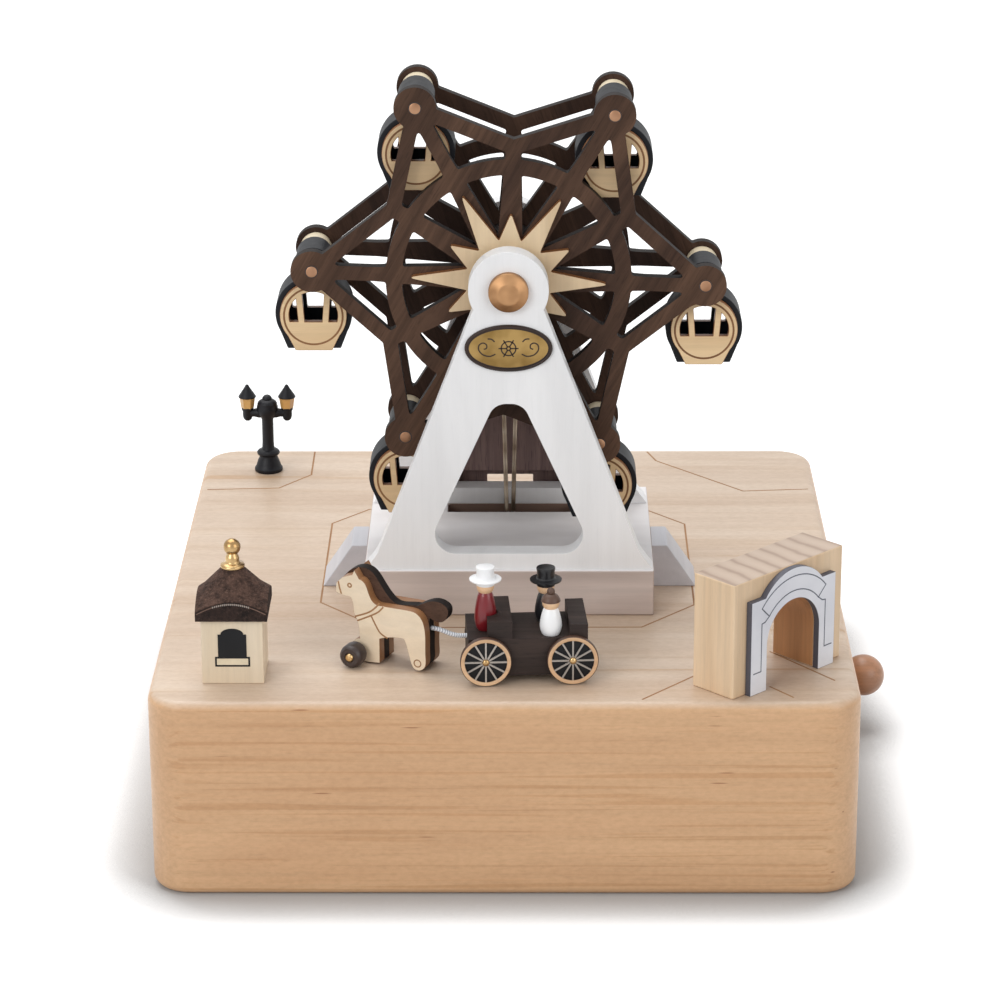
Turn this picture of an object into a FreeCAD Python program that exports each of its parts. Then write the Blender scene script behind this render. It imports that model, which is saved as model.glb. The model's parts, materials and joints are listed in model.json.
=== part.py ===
import FreeCAD, Part
import math
import os
import Sketcher

# Hand-cranked wooden ferris wheel toy. Millimetres, +Z up, +X to the right of someone facing
# the toy, +Y away from them. The origin is the centre of the case's bottom face.

SIZES = [
    # alias, value, what it is (millimetres, or degrees where it says so)
    ("case_width", 180.0, "case, left to right"),
    ("case_depth", 195.0, "case, front to back"),
    ("case_height", 53.0, "case, floor to top"),
    ("case_wall", 9.0, "side walls of the hollowed case"),
    ("case_top", 5.0, "wood left above the hollow"),
    ("case_corner", 10.0, "radius of the upright corners"),
    ("case_round", 2.5, "rounding of the top and bottom edges"),
    ("cover_rim", 4.0, "case wall left outside the bottom cover"),
    ("cover_thick", 3.0, "bottom cover"),
    ("cover_gap", 0.2, "gap round the cover"),
    ("screw_shank", 1.1, "cover screw, shank radius"),
    ("screw_head", 2.0, "cover screw, head radius"),
    ("screw_length", 12.0, "cover screw, head to tip"),
    ("screw_spread", 65.0, "cover screws, distance from the middle along the case"),
    ("tower_shift", 1.0, "the tower stands this far right of the middle"),
    ("block_width", 76.6, "platform block, left to right"),
    ("block_depth", 66.0, "platform block, front to back"),
    ("block_front", 37.7, "platform block, front face to the middle"),
    ("block_height", 12.7, "platform block"),
    ("slot_width", 34.0, "belt slot in the platform block, left to right"),
    ("slot_depth", 6.5, "belt slot, front to back"),
    ("belt_plane", 11.35, "middle of the belt behind the toy's middle"),
    ("belt_hole", 4.5, "radius of the belt's hole through the case top"),
    ("ramp_reach", 12.2, "boarding ramp, out from the block"),
    ("ramp_flat", 4.2, "boarding ramp, level part"),
    ("ramp_height", 11.8, "boarding ramp, high edge"),
    ("ramp_length", 15.0, "boarding ramp, front to back"),
    ("ramp_front", 16.3, "boarding ramp, front face to the middle"),
    ("frame_thick", 6.0, "each A-frame"),
    ("frame_set", 1.0, "front A-frame behind the block's front"),
    ("frame_head", 10.4, "A-frame head radius"),
    ("frame_neck", 9.2, "A-frame half width below the head"),
    ("frame_neck_drop", 5.2, "neck below the axle"),
    ("frame_leg", 34.6, "A-frame half width where the legs begin to flare"),
    ("frame_foot", 38.0, "A-frame foot, half width"),
    ("frame_toe", 4.6, "A-frame foot, height of the flare"),
    ("frame_flare", 13.0, "radius between leg and flare"),
    ("window_rail", 4.4, "rail below the A-frame's window"),
    ("window_half", 22.5, "window half width at the rail"),
    ("window_top_half", 3.7, "window half width at its top"),
    ("window_height", 41.6, "window, rail to top"),
    ("window_top_round", 4.6, "radius of the window's two upper corners"),
    ("window_round", 5.5, "radius of the window's two lower corners"),
    ("axle_height", 142.2, "wheel axle above the floor"),
    ("axle_radius", 2.0, "wheel axle"),
    ("running_gap", 0.06, "radial gap of a shaft that turns"),
    ("rear_frame_front", 14.6, "rear A-frame, front face behind the middle"),
    ("panel_thick", 5.0, "back panel"),
    ("panel_top", 46.0, "back panel above the block"),
    ("panel_half", 25.0, "back panel half width at its foot"),
    ("panel_top_half", 13.0, "back panel half width at its top"),
    ("panel_step", 7.4, "height of the stepped-back foot of the panel"),
    ("panel_step_depth", 2.4, "depth of that step"),
    ("panel_slot_half", 6.4, "slot in the panel's foot, half width"),
    ("panel_slot_low", 2.6, "slot, lower edge above the block"),
    ("panel_slot_high", 5.6, "slot, upper edge above the block"),
    ("plaque_long", 11.4, "oval plaque, half length"),
    ("plaque_short", 6.3, "oval plaque, half height"),
    ("plaque_thick", 0.9, "oval plaque"),
    ("plaque_drop", 15.2, "plaque centre below the axle"),
    ("cap_radius", 5.2, "brass axle cap"),
    ("cap_height", 3.4, "brass axle cap, proud of the frame"),
    ("cap_band", 1.9, "brass axle cap, straight band"),
    ("cap_face", 2.8, "brass axle cap, radius of its flat face"),
    ("cap_seat", 1.6, "brass axle cap, plug inside the frame"),
    ("plate_front", 25.4, "front wheel plate, front face before the middle"),
    ("plate_thick", 3.0, "each wheel plate"),
    ("plate_gap", 20.4, "between the two wheel plates"),
    ("wheel_clear", 2.5, "lowest gondola above the platform block"),
    ("wheel_turn", -2.2, "degrees that the wheel stands turned at rest"),
    ("tip_boss", 5.5, "round end of each wheel arm, radius"),
    ("dip_reach", 35.2, "axle to the middle of each dip between arms"),
    ("spoke_width", 3.8, "struts, and spokes at the dips"),
    ("spoke_root", 7.5, "spokes, width at the axle"),
    ("ring_outer", 32.0, "wheel ring, outer radius"),
    ("ring_inner", 27.8, "wheel ring, inner radius"),
    ("hub_disc", 12.4, "solid middle of a wheel plate, radius"),
    ("star_long", 26.6, "star, long ray"),
    ("star_short", 18.2, "star, short ray"),
    ("star_valley", 11.1, "star, between the rays"),
    ("star_thick", 2.0, "star"),
    ("hub_radius", 9.0, "hub between the wheel plates"),
    ("washer_gap", 0.4, "end gap of the hub washer at the frame"),
    ("washer_radius", 4.5, "hub washer radius"),
    ("sleeve_radius", 3.5, "sleeve of the wheel's pulley, radius"),
    ("pulley_groove", 2.1, "belt pulleys, radius at the bottom of the groove"),
    ("pulley_rim", 4.2, "belt pulleys, rim radius"),
    ("pulley_half", 1.8, "belt pulleys, half width"),
    ("belt_radius", 0.6, "round drive belt"),
    ("belt_gap", 0.05, "belt to groove"),
    ("belt_ease", 40.0, "radius of the bends where the belt leaves a pulley"),
    ("pin_radius", 1.7, "gondola pins"),
    ("pin_head", 0.3, "pin heads, proud of the plates"),
    ("spacer_radius", 4.2, "maple spacer on each pin"),
    ("end_gap", 0.2, "play at the ends of the gondolas and spacers"),
    ("lug_radius", 4.8, "gondola lug round its pin"),
    ("gondola_drop", 13.1, "pin to the middle of the gondola"),
    ("gondola_radius", 10.1, "gondola shell"),
    ("gondola_foot", 9.6, "gondola's middle to its flat foot"),
    ("gondola_foot_half", 7.0, "half width of the flat foot"),
    ("gondola_depth", 11.0, "gondola shell, front to back"),
    ("gondola_wall", 2.0, "gondola shell wall"),
    ("gondola_inset", 1.0, "gondola front face behind the wheel plate"),
    ("face_radius", 8.8, "maple gondola face"),
    ("face_thick", 2.0, "maple gondola face"),
    ("face_foot_half", 4.8, "half width of the face's flat foot"),
    ("opening_radius", 6.4, "arched gondola windows"),
    ("opening_sill", 1.7, "window sill below the gondola's middle"),
    ("post_offset", 3.1, "window posts from the middle"),
    ("post_width", 1.7, "window posts"),
    ("post_lean", 4.5, "degrees that the window posts lean out"),
    ("shaft_height", 28.0, "crank shaft above the floor"),
    ("shaft_radius", 2.0, "crank shaft"),
    ("shaft_left", 38.5, "crank shaft, inner end left of the middle"),
    ("arm_gap", 0.8, "crank arm, off the bush's flange"),
    ("arm_thick", 2.4, "crank arm"),
    ("arm_length", 12.5, "crank shaft to knob"),
    ("arm_half", 3.4, "crank arm half width"),
    ("knob_radius", 5.8, "ball knob"),
    ("knob_gap", 0.4, "ball knob, off the crank arm"),
    ("knob_skin", 1.2, "wood left over the end of the knob's pin"),
    ("knob_pin", 1.2, "pin of the knob"),
    ("bush_radius", 4.6, "brass bush in the case wall"),
    ("bush_flange", 6.4, "bush flange radius"),
    ("bush_flange_thick", 0.8, "bush flange"),
    ("bracket_cap", 2.6, "bearing block above the shaft's middle"),
    ("bracket_thick", 6.8, "bearing block, along the shaft"),
    ("bracket_wide", 12.8, "bearing block, across the shaft"),
    ("bracket_gap", 1.0, "bearing block from the music cylinder's gear"),
    ("track_radius", 75.2, "circle that the carriage runs on"),
    ("collar_inner", 21.0, "turntable collar under the case top, inner radius"),
    ("collar_outer", 24.0, "turntable collar, outer radius"),
    ("collar_lip", 25.2, "collar's retaining lip, radius"),
    ("collar_lip_thick", 1.8, "collar's retaining lip"),
    ("table_outer", 31.0, "turntable ring, outer radius"),
    ("table_thick", 4.0, "turntable ring"),
    ("magnet_radius", 3.0, "drive magnets"),
    ("magnet_height", 2.5, "drive magnets"),
    ("magnet_gap", 0.8, "magnets below the case top"),
    ("rider_width", 10.0, "turntable arm, width"),
    ("rider_thick", 2.0, "turntable arm, thickness"),
    ("rider_end", 0.5, "turntable arm, past its magnet"),
    ("pinion_radius", 4.9, "pinion that drives the turntable"),
    ("pinion_gap", 0.1, "pinion to the turntable ring's face"),
    ("pinion_half", 2.0, "pinion half width"),
    ("pinion_place", 26.6, "pinion's middle right of the tower's middle"),
    ("worm_radius", 3.4, "worm on the crank shaft"),
    ("worm_half", 5.0, "worm half length"),
    ("music_place", 32.0, "musical movement, cylinder axis left of the middle"),
    ("music_gear", 7.0, "gear on the music cylinder, radius"),
    ("music_gear_half", 1.5, "gear half width"),
    ("music_cylinder", 6.0, "music cylinder radius"),
    ("music_length", 20.0, "music cylinder length"),
    ("music_pivot", 0.9, "pivots of the music cylinder, radius"),
    ("bed_thick", 2.0, "bedplate and its cheeks"),
    ("bed_reach", 17.0, "bedplate, cylinder axis to its outer edge"),
    ("rest_width", 5.0, "comb rest"),
    ("comb_thick", 1.0, "comb"),
    ("mesh_gap", 0.15, "gap between gears in mesh"),
    ("horse_turn", 114.0, "degrees clockwise from +X where the horse stands"),
    ("cart_turn", 86.4, "degrees clockwise from +X where the cart stands"),
    ("horse_tall", 24.6, "horse, hoof to ear"),
    ("layer_thick", 2.8, "each of the horse's three layers"),
    ("horse_wheel", 3.1, "horse's front wheels, radius"),
    ("horse_wheel_thick", 4.6, "horse's front wheels"),
    ("horse_wheel_in", 5.2, "inner face of those wheels from the middle layer"),
    ("wheel_pin", 0.9, "axle pins of the small wheels, radius"),
    ("wheel_pin_end", 0.5, "axle pins of the small wheels, proud of the wheels"),
    ("cart_long", 30.2, "cart body, front to back"),
    ("cart_lead", 15.3, "cart's front end ahead of its middle"),
    ("cart_half", 9.0, "cart body half width"),
    ("cart_low", 2.2, "underside of the cart above the case"),
    ("cart_floor", 12.1, "cart floor above the case"),
    ("seat_front_tall", 16.7, "front seat above the case"),
    ("seat_rear_tall", 15.6, "rear seat above the case"),
    ("seat_front_at", 10.4, "front seat's front face ahead of the middle"),
    ("seat_front_deep", 6.2, "front seat, front to back"),
    ("seat_rear_deep", 4.6, "rear seat, front to back"),
    ("cart_wheel", 6.5, "cart wheel radius"),
    ("cart_wheel_thick", 1.5, "cart wheel"),
    ("cart_collar", 4.4, "plain collar on the inner end of each cart axle, radius"),
    ("cart_wheel_gap", 0.4, "cart wheel to cart body"),
    ("cart_axle_at", 11.0, "cart axles from the middle"),
    ("peg_radius", 2.9, "peg figures, widest radius"),
    ("peg_head", 2.3, "peg figures, head radius"),
    ("coachman_neck", 10.4, "coachman, foot to neck"),
    ("gentleman_neck", 8.0, "gentleman, foot to neck"),
    ("lady_neck", 7.4, "lady, foot to neck"),
    ("coachman_ahead", 10.6, "coachman ahead of the cart's middle"),
    ("coachman_out", 1.5, "coachman out from the cart's middle"),
    ("gentleman_behind", 5.0, "gentleman behind the cart's middle"),
    ("gentleman_in", 3.4, "gentleman in from the cart's middle"),
    ("lady_behind", 5.7, "lady behind the cart's middle"),
    ("lady_out", 6.0, "lady out from the cart's middle"),
    ("brim_radius", 4.1, "hat brims"),
    ("brim_thick", 0.6, "hat brims"),
    ("crown_radius", 2.5, "hat crowns"),
    ("crown_tall", 3.6, "hat crowns"),
    ("link_radius", 0.6, "tow link"),
    ("link_height", 10.8, "tow link above the case, at the horse"),
    ("link_low", 9.7, "tow link above the case, at the cart"),
    ("link_bare", 1.0, "straight ends of the tow link outside the wood"),
    ("link_seat", 1.6, "ends of the tow link inside the wood"),
    ("track_gap", 0.1, "play between the train and the case top"),
    ("booth_width", 15.7, "ticket booth"),
    ("booth_tall", 17.3, "ticket booth, case to eaves"),
    ("booth_side", 21.4, "ticket booth's middle from the case's left face"),
    ("booth_front", 21.0, "ticket booth's middle from the case's front face"),
    ("roof_width", 18.2, "booth roof"),
    ("roof_tall", 11.4, "booth roof, eaves to neck"),
    ("roof_neck", 2.8, "booth roof, neck radius"),
    ("roof_corner", 2.6, "fascia height at the roof's corners"),
    ("roof_bend", 6.3, "booth roof, height of its hollow bend"),
    ("finial_ring", 3.1, "finial base radius"),
    ("finial_ball", 2.2, "finial ball radius"),
    ("finial_rise", 5.4, "finial ball above the roof"),
    ("lamp_side", 19.4, "lamp post from the case's left face"),
    ("lamp_back", 19.1, "lamp post from the case's rear face"),
    ("lamp_base", 4.1, "lamp post, base radius"),
    ("lamp_foot", 1.4, "lamp post, height of its foot disc"),
    ("lamp_bell", 3.5, "lamp post, bell radius"),
    ("lamp_bell_tall", 5.3, "lamp post, bell height"),
    ("lamp_ring", 3.3, "lamp post, ring radius"),
    ("lamp_ring_tall", 1.0, "lamp post, ring height"),
    ("lamp_head", 3.1, "lamp post, head ball radius"),
    ("lamp_spike", 4.5, "lamp post, spike over the head's middle"),
    ("lamp_bar", 1.0, "lamp post, crossbar radius"),
    ("lamp_cup", 4.1, "lamp post, cups under the lanterns"),
    ("lamp_cup_foot", 0.7, "lamp post, foot radius of the cups"),
    ("lamp_seat", 1.2, "lanterns' feet above the crossbar's middle"),
    ("lamp_tip", 0.4, "lamp post, radius of its points"),
    ("lamp_pole", 1.6, "lamp post, pole radius"),
    ("lamp_tall", 19.1, "lamp post, case to head"),
    ("lamp_arm", 5.8, "lanterns from the pole"),
    ("lantern_radius", 2.1, "lanterns"),
    ("lantern_foot", 1.6, "lanterns, radius at the foot"),
    ("lantern_tall", 3.2, "lanterns"),
    ("lantern_cap", 2.6, "lantern caps, radius"),
    ("lantern_cap_tall", 4.0, "lantern caps"),
    ("gate_side", 23.1, "gate block's middle from the case's right face"),
    ("gate_front", 21.8, "gate block's middle from the case's front face"),
    ("gate_turn", 45.0, "degrees that the gate is turned"),
    ("gate_long", 41.1, "gate block, along its face"),
    ("gate_deep", 13.6, "gate block, through"),
    ("gate_tall", 30.6, "gate block"),
    ("arch_radius", 9.9, "archway half width"),
    ("arch_spring", 12.1, "archway, straight part"),
    ("facing_wide", 31.9, "arch facing"),
    ("facing_shoulder", 25.1, "arch facing, shoulder height"),
    ("facing_arc", 13.6, "arch facing, outer arc"),
    ("facing_tall", 30.4, "arch facing, top"),
    ("facing_thick", 1.8, "arch facing"),
]

doc = FreeCAD.newDocument("FerrisWheelToy")
sheet = doc.addObject("Spreadsheet::Sheet", "Sizes")


class Size(float):
    """A number of the sheet, or one worked out from it, that remembers its expression."""

    def __new__(cls, number, text):
        made = float.__new__(cls, number)
        made.text = text
        return made

    def __add__(self, other):
        return Size(float(self) + float(other), f"({self.text} + {text_of(other)})")

    __radd__ = __add__

    def __sub__(self, other):
        return Size(float(self) - float(other), f"({self.text} - {text_of(other)})")

    def __rsub__(self, other):
        return Size(float(other) - float(self), f"({text_of(other)} - {self.text})")

    def __mul__(self, other):
        return Size(float(self) * float(other), f"({self.text} * {text_of(other)})")

    __rmul__ = __mul__

    def __truediv__(self, other):
        return Size(float(self) / float(other), f"({self.text} / {text_of(other)})")

    def __neg__(self):
        return Size(-float(self), f"(0 - {self.text})")


def text_of(value):
    return value.text if isinstance(value, Size) else repr(float(value))


def cosine(angle):
    return Size(math.cos(math.radians(angle)), f"cos({text_of(angle)})")


def sine(angle):
    return Size(math.sin(math.radians(angle)), f"sin({text_of(angle)})")


def span_of(along, across):
    return Size(math.hypot(along, across), f"sqrt({along.text}^2 + {across.text}^2)")


def ray_point(angle, ahead, aside):
    """A point ahead along the ray at an angle, and aside to the ray's left."""
    return (cosine(angle) * ahead - sine(angle) * aside,
            sine(angle) * ahead + cosine(angle) * aside)


class Sizes:
    """The sheet's cells by their aliases."""

    def __init__(self, rows):
        for row, (alias, value, note) in enumerate(rows, start=1):
            sheet.set(f"A{row}", note)
            sheet.set(f"B{row}", str(value))
            sheet.setAlias(f"B{row}", alias)
            setattr(self, alias, Size(value, f"Sizes.{alias}"))


d = Sizes(SIZES)
doc.recompute()

# ---------------------------------------------------------------- heights and planes
UP = FreeCAD.Vector(0, 0, 1)
RIGHT = FreeCAD.Vector(1, 0, 0)
BACK = FreeCAD.Vector(0, 1, 0)
STAND = FreeCAD.Rotation(RIGHT, 90)
ALONG_Y = FreeCAD.Rotation(RIGHT, -90)
ALONG_X = FreeCAD.Rotation(BACK, 90)
UPRIGHT = FreeCAD.Rotation()

deck = d.case_height
block_top = deck + d.block_height
ceiling = deck - d.case_top
frame_back = -d.block_front + d.frame_set + d.frame_thick
frame_front = -d.block_front + d.frame_set
rear_frame_back = d.rear_frame_front + d.frame_thick
plate_back = -d.plate_front + d.plate_thick
rear_plate_front = plate_back + d.plate_gap
rear_plate_back = rear_plate_front + d.plate_thick
frame_drop = d.axle_height - block_top
wheel_reach = frame_drop - d.gondola_drop - d.gondola_foot - d.wheel_clear
arm_inside = d.case_width / 2 + d.bush_flange_thick + d.arm_gap
arm_outside = arm_inside + d.arm_thick
table_low = d.shaft_height + d.pinion_radius + d.pinion_gap

ARMS = 6
GONDOLAS = range(1, ARMS + 1)


# ---------------------------------------------------------------- small makers
def place(obj, x, y, z, turn=UPRIGHT):
    """Sets an object down at a bound place, turned by a fixed rotation."""
    obj.Placement = FreeCAD.Placement(FreeCAD.Vector(x, y, z), turn)
    for axis, value in (("x", x), ("y", y), ("z", z)):
        if isinstance(value, Size):
            obj.setExpression(f"Placement.Base.{axis}", value.text)
    return obj


def place_turned(obj, x, y, z, angle):
    """Sets an object down turned about the upright by a bound angle."""
    place(obj, x, y, z, FreeCAD.Rotation(UP, float(angle)))
    obj.setExpression("Placement.Rotation.Angle", text_of(angle))
    return obj


def bind(obj, **sizes):
    for name, value in sizes.items():
        setattr(obj, name, float(value))
        if isinstance(value, Size):
            obj.setExpression(name, value.text)
    return obj


def box(name, length, width, height, x, y, z):
    made = bind(doc.addObject("Part::Box", name), Length=length, Width=width, Height=height)
    return place(made, x, y, z)


def cylinder(name, radius, height, x, y, z, turn=UPRIGHT):
    made = bind(doc.addObject("Part::Cylinder", name), Radius=radius, Height=height)
    return place(made, x, y, z, turn)


def cone(name, low, high, height, x, y, z, turn=UPRIGHT):
    made = doc.addObject("Part::Cone", name)
    bind(made, Radius1=low, Radius2=high, Height=height)
    return place(made, x, y, z, turn)


def ball(name, radius, x, y, z):
    return place(bind(doc.addObject("Part::Sphere", name), Radius=radius), x, y, z)


def fuse(name, shapes):
    made = doc.addObject("Part::MultiFuse", name)
    made.Shapes = shapes
    made.Label = name
    return made


def cut(name, base, tool):
    made = doc.addObject("Part::Cut", name)
    made.Base = base
    made.Tool = tool
    made.Label = name
    return made


def common(name, shapes):
    made = doc.addObject("Part::MultiCommon", name)
    made.Shapes = shapes
    made.Label = name
    return made


def group(name, shapes):
    made = doc.addObject("Part::Compound", name)
    made.Links = shapes
    made.Label = name
    return made


def shape_part(name, shape):
    made = doc.addObject("Part::Feature", name)
    made.Label = name
    made.Shape = shape
    return made


def new_body(name):
    body = doc.addObject("PartDesign::Body", name)
    body.Label = name
    return body


def new_sketch(body, name, role="XY_Plane"):
    sketch = body.newObject("Sketcher::SketchObject", name)
    plane = next(item for item in body.Origin.OriginFeatures if item.Role == role)
    sketch.AttachmentSupport = (plane, [""])
    sketch.MapMode = "FlatFace"
    return sketch


def hold(sketch, item, point, x, y):
    """Holds a point of the sketch by its two distances from the origin."""
    for kind, value in (("DistanceX", x), ("DistanceY", y)):
        index = sketch.addConstraint(Sketcher.Constraint(kind, -1, 1, item, point, float(value)))
        if isinstance(value, Size):
            sketch.setExpression(f"Constraints[{index}]", value.text)


def add_outline(sketch, points):
    """A closed outline of straight edges with every corner held."""
    count = len(points)
    first = sketch.GeometryCount
    for index, (x, y) in enumerate(points):
        end_x, end_y = points[(index + 1) % count]
        start = FreeCAD.Vector(float(x), float(y), 0)
        end = FreeCAD.Vector(float(end_x), float(end_y), 0)
        sketch.addGeometry(Part.LineSegment(start, end), False)
    for index in range(count):
        after = first + (index + 1) % count
        sketch.addConstraint(Sketcher.Constraint("Coincident", first + index, 2, after, 1))
    for index, (x, y) in enumerate(points):
        hold(sketch, first + index, 1, x, y)


def add_circle(sketch, x, y, radius):
    centre = FreeCAD.Vector(float(x), float(y), 0)
    item = sketch.addGeometry(Part.Circle(centre, UP, float(radius)), False)
    hold(sketch, item, 3, x, y)
    index = sketch.addConstraint(Sketcher.Constraint("Radius", item, float(radius)))
    sketch.setExpression(f"Constraints[{index}]", text_of(radius))


def pad(body, name, sketch, length):
    made = body.newObject("PartDesign::Pad", name)
    made.Profile = sketch
    return bind(made, Length=length)


def pocket_through(body, name, sketch):
    """Cuts a sketch of the base plane right through the solid above it."""
    made = body.newObject("PartDesign::Pocket", name)
    made.Profile = sketch
    made.Type = "ThroughAll"
    made.Reversed = True
    return made


def round_edges(body, name, feature, radius, wanted):
    """Rounds the edges that wanted() picks out of the feature's solid."""
    doc.recompute()
    names = [f"Edge{i}" for i, edge in enumerate(feature.Shape.Edges, start=1) if wanted(edge)]
    made = body.newObject("PartDesign::Fillet", name)
    made.Base = (feature, names)
    return bind(made, Radius=radius)


def upright_at(x, y):
    """Picks the edge that runs along Z through x, y."""
    def wanted(edge):
        bounds = edge.BoundBox
        near = math.hypot(bounds.Center.x - x, bounds.Center.y - y) < 0.01
        return near and bounds.XLength < 0.01 and bounds.YLength < 0.01
    return wanted


def pattern(body, name, features, count):
    made = body.newObject("PartDesign::PolarPattern", name)
    made.Originals = features
    axis = next(item for item in body.Origin.OriginFeatures if item.Role == "Z_Axis")
    made.Axis = (axis, [""])
    made.Angle = 360
    made.Occurrences = count
    body.Tip = made
    return made


def turned(name, profile, x, y, z, turn=STAND):
    """A turned piece: its half outline (radius, height) spun round the local Y axis."""
    body = new_body(name)
    sketch = new_sketch(body, name + "_profile")
    add_outline(sketch, profile)
    spin = body.newObject("PartDesign::Revolution", name + "_turning")
    spin.Profile = sketch
    spin.ReferenceAxis = (sketch, ["V_Axis"])
    spin.Angle = 360
    body.Tip = spin
    return place(body, x, y, z, turn)


# ---------------------------------------------------------------- case
def make_case():
    """Solid maple case, hollowed from below, with the rebate for its cover."""
    width = d.case_width
    depth = d.case_depth
    body = new_body("case_outside")
    outline = new_sketch(body, "case_outline")
    add_outline(outline, [(-width / 2, -depth / 2), (width / 2, -depth / 2),
                          (width / 2, depth / 2), (-width / 2, depth / 2)])
    block = pad(body, "case_block", outline, d.case_height)

    def upright(edge):
        return edge.BoundBox.ZLength > 1 and edge.BoundBox.XLength < 0.01
    corners = round_edges(body, "case_corners", block, d.case_corner, upright)

    def rim(edge):
        return edge.BoundBox.ZLength < 0.01
    edges = round_edges(body, "case_edges", corners, d.case_round, rim)
    body.Tip = edges

    inside_x = width - 2 * d.case_wall
    inside_y = depth - 2 * d.case_wall
    rebate_x = width - 2 * d.cover_rim
    rebate_y = depth - 2 * d.cover_rim
    hollow = box("case_hollow", inside_x, inside_y, ceiling, -inside_x / 2, -inside_y / 2, 0)
    rebate = box("case_rebate", rebate_x, rebate_y, d.cover_thick,
                 -rebate_x / 2, -rebate_y / 2, 0)
    hole = cylinder("case_belt_hole", d.belt_hole, d.case_height, d.tower_shift, d.belt_plane, 0)
    bush = cylinder("case_bush_hole", d.bush_radius, d.case_wall * 2, width / 2 - d.case_wall,
                    d.belt_plane, d.shaft_height, ALONG_X)
    pilots = [cylinder(f"case_pilot_{i}", d.screw_shank, d.screw_length, x, y, 0)
              for i, (x, y) in enumerate(screw_places(), start=1)]
    tools = fuse("case_cuts", [hollow, rebate, hole, bush] + pilots)
    return cut("base_case", body, tools)


def screw_places():
    line = d.case_width / 2 - (d.cover_rim + d.case_wall) / 2
    return [(side * line, end * d.screw_spread) for side in (-1, 1) for end in (-1, 1)]


def make_cover():
    """Thin bottom cover in its rebate, with countersunk screw holes."""
    width = d.case_width - 2 * d.cover_rim - 2 * d.cover_gap
    depth = d.case_depth - 2 * d.cover_rim - 2 * d.cover_gap
    board = box("cover_board", width, depth, d.cover_thick, -width / 2, -depth / 2, 0)
    holes = []
    for i, (x, y) in enumerate(screw_places(), start=1):
        holes.append(cylinder(f"cover_hole_{i}", d.screw_shank, d.screw_length, x, y, 0))
        holes.append(cone(f"cover_sink_{i}", d.screw_head, d.screw_shank,
                          d.screw_head - d.screw_shank, x, y, 0))
    cut("bottom_cover", board, fuse("cover_holes", holes))
    screws = []
    for i, (x, y) in enumerate(screw_places(), start=1):
        head = cone(f"screw_head_{i}", d.screw_head, d.screw_shank,
                    d.screw_head - d.screw_shank, x, y, 0)
        shank = cylinder(f"screw_shank_{i}", d.screw_shank, d.screw_length, x, y, 0)
        screws.append(fuse(f"screw_{i}", [head, shank]))
    group("cover_screws", screws)


# ---------------------------------------------------------------- platform
def make_platform():
    """White platform block with the belt slot, and a boarding ramp on each side."""
    block = box("block_blank", d.block_width, d.block_depth, d.block_height,
                d.tower_shift - d.block_width / 2, -d.block_front, deck)
    slot = box("block_slot", d.slot_width, d.slot_depth, d.block_height,
               d.tower_shift - d.slot_width / 2, d.belt_plane - d.slot_depth / 2, deck)
    cut("platform_block", block, slot)
    ramps = []
    for side, name in ((-1, "left"), (1, "right")):
        body = new_body(f"{name}_ramp")
        outline = new_sketch(body, f"{name}_ramp_outline")
        inner = d.block_width / 2
        add_outline(outline, [(side * inner, 0.0), (side * (inner + d.ramp_reach), 0.0),
                              (side * (inner + d.ramp_flat), d.ramp_height),
                              (side * inner, d.ramp_height)])
        body.Tip = pad(body, f"{name}_ramp_block", outline, d.ramp_length)
        place(body, d.tower_shift, d.ramp_length - d.ramp_front, deck, STAND)
        ramps.append(body)
    group("boarding_ramps", ramps)


def make_frame(name, back):
    """An A-frame: round head, two legs flared onto a foot, a tall window between the legs."""
    body = new_body(name)
    outline = new_sketch(body, name + "_outline")
    neck_y = -d.frame_neck_drop
    foot_y = -frame_drop
    toe_y = foot_y + d.frame_toe
    add_outline(outline, [(-d.frame_foot, foot_y), (d.frame_foot, foot_y),
                          (d.frame_leg, toe_y), (d.frame_neck, neck_y),
                          (-d.frame_neck, neck_y), (-d.frame_leg, toe_y)])
    legs = pad(body, name + "_legs", outline, d.frame_thick)
    flare = legs
    for side in (-1, 1):
        flare = round_edges(body, f"{name}_flare_{side + 2}", flare, d.frame_flare,
                            upright_at(side * d.frame_leg, toe_y))
    head = new_sketch(body, name + "_head_outline")
    add_circle(head, 0.0, 0.0, d.frame_head)
    pad(body, name + "_head", head, d.frame_thick)
    window = new_sketch(body, name + "_window_outline")
    sill = foot_y + d.window_rail
    top = sill + d.window_height
    corners = [(-d.window_half, sill), (d.window_half, sill),
               (d.window_top_half, top), (-d.window_top_half, top)]
    add_outline(window, corners)
    opened = pocket_through(body, name + "_window", window)
    rounded = opened
    radii = (d.window_round, d.window_round, d.window_top_round, d.window_top_round)
    for i, ((x, y), radius) in enumerate(zip(corners, radii), start=1):
        rounded = round_edges(body, f"{name}_corner_{i}", rounded, radius, upright_at(x, y))
    bore = new_sketch(body, name + "_bore_outline")
    add_circle(bore, 0.0, 0.0, d.axle_radius + d.running_gap)
    body.Tip = pocket_through(body, name + "_bore", bore)
    place(body, d.tower_shift, back, d.axle_height, STAND)
    return body


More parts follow.
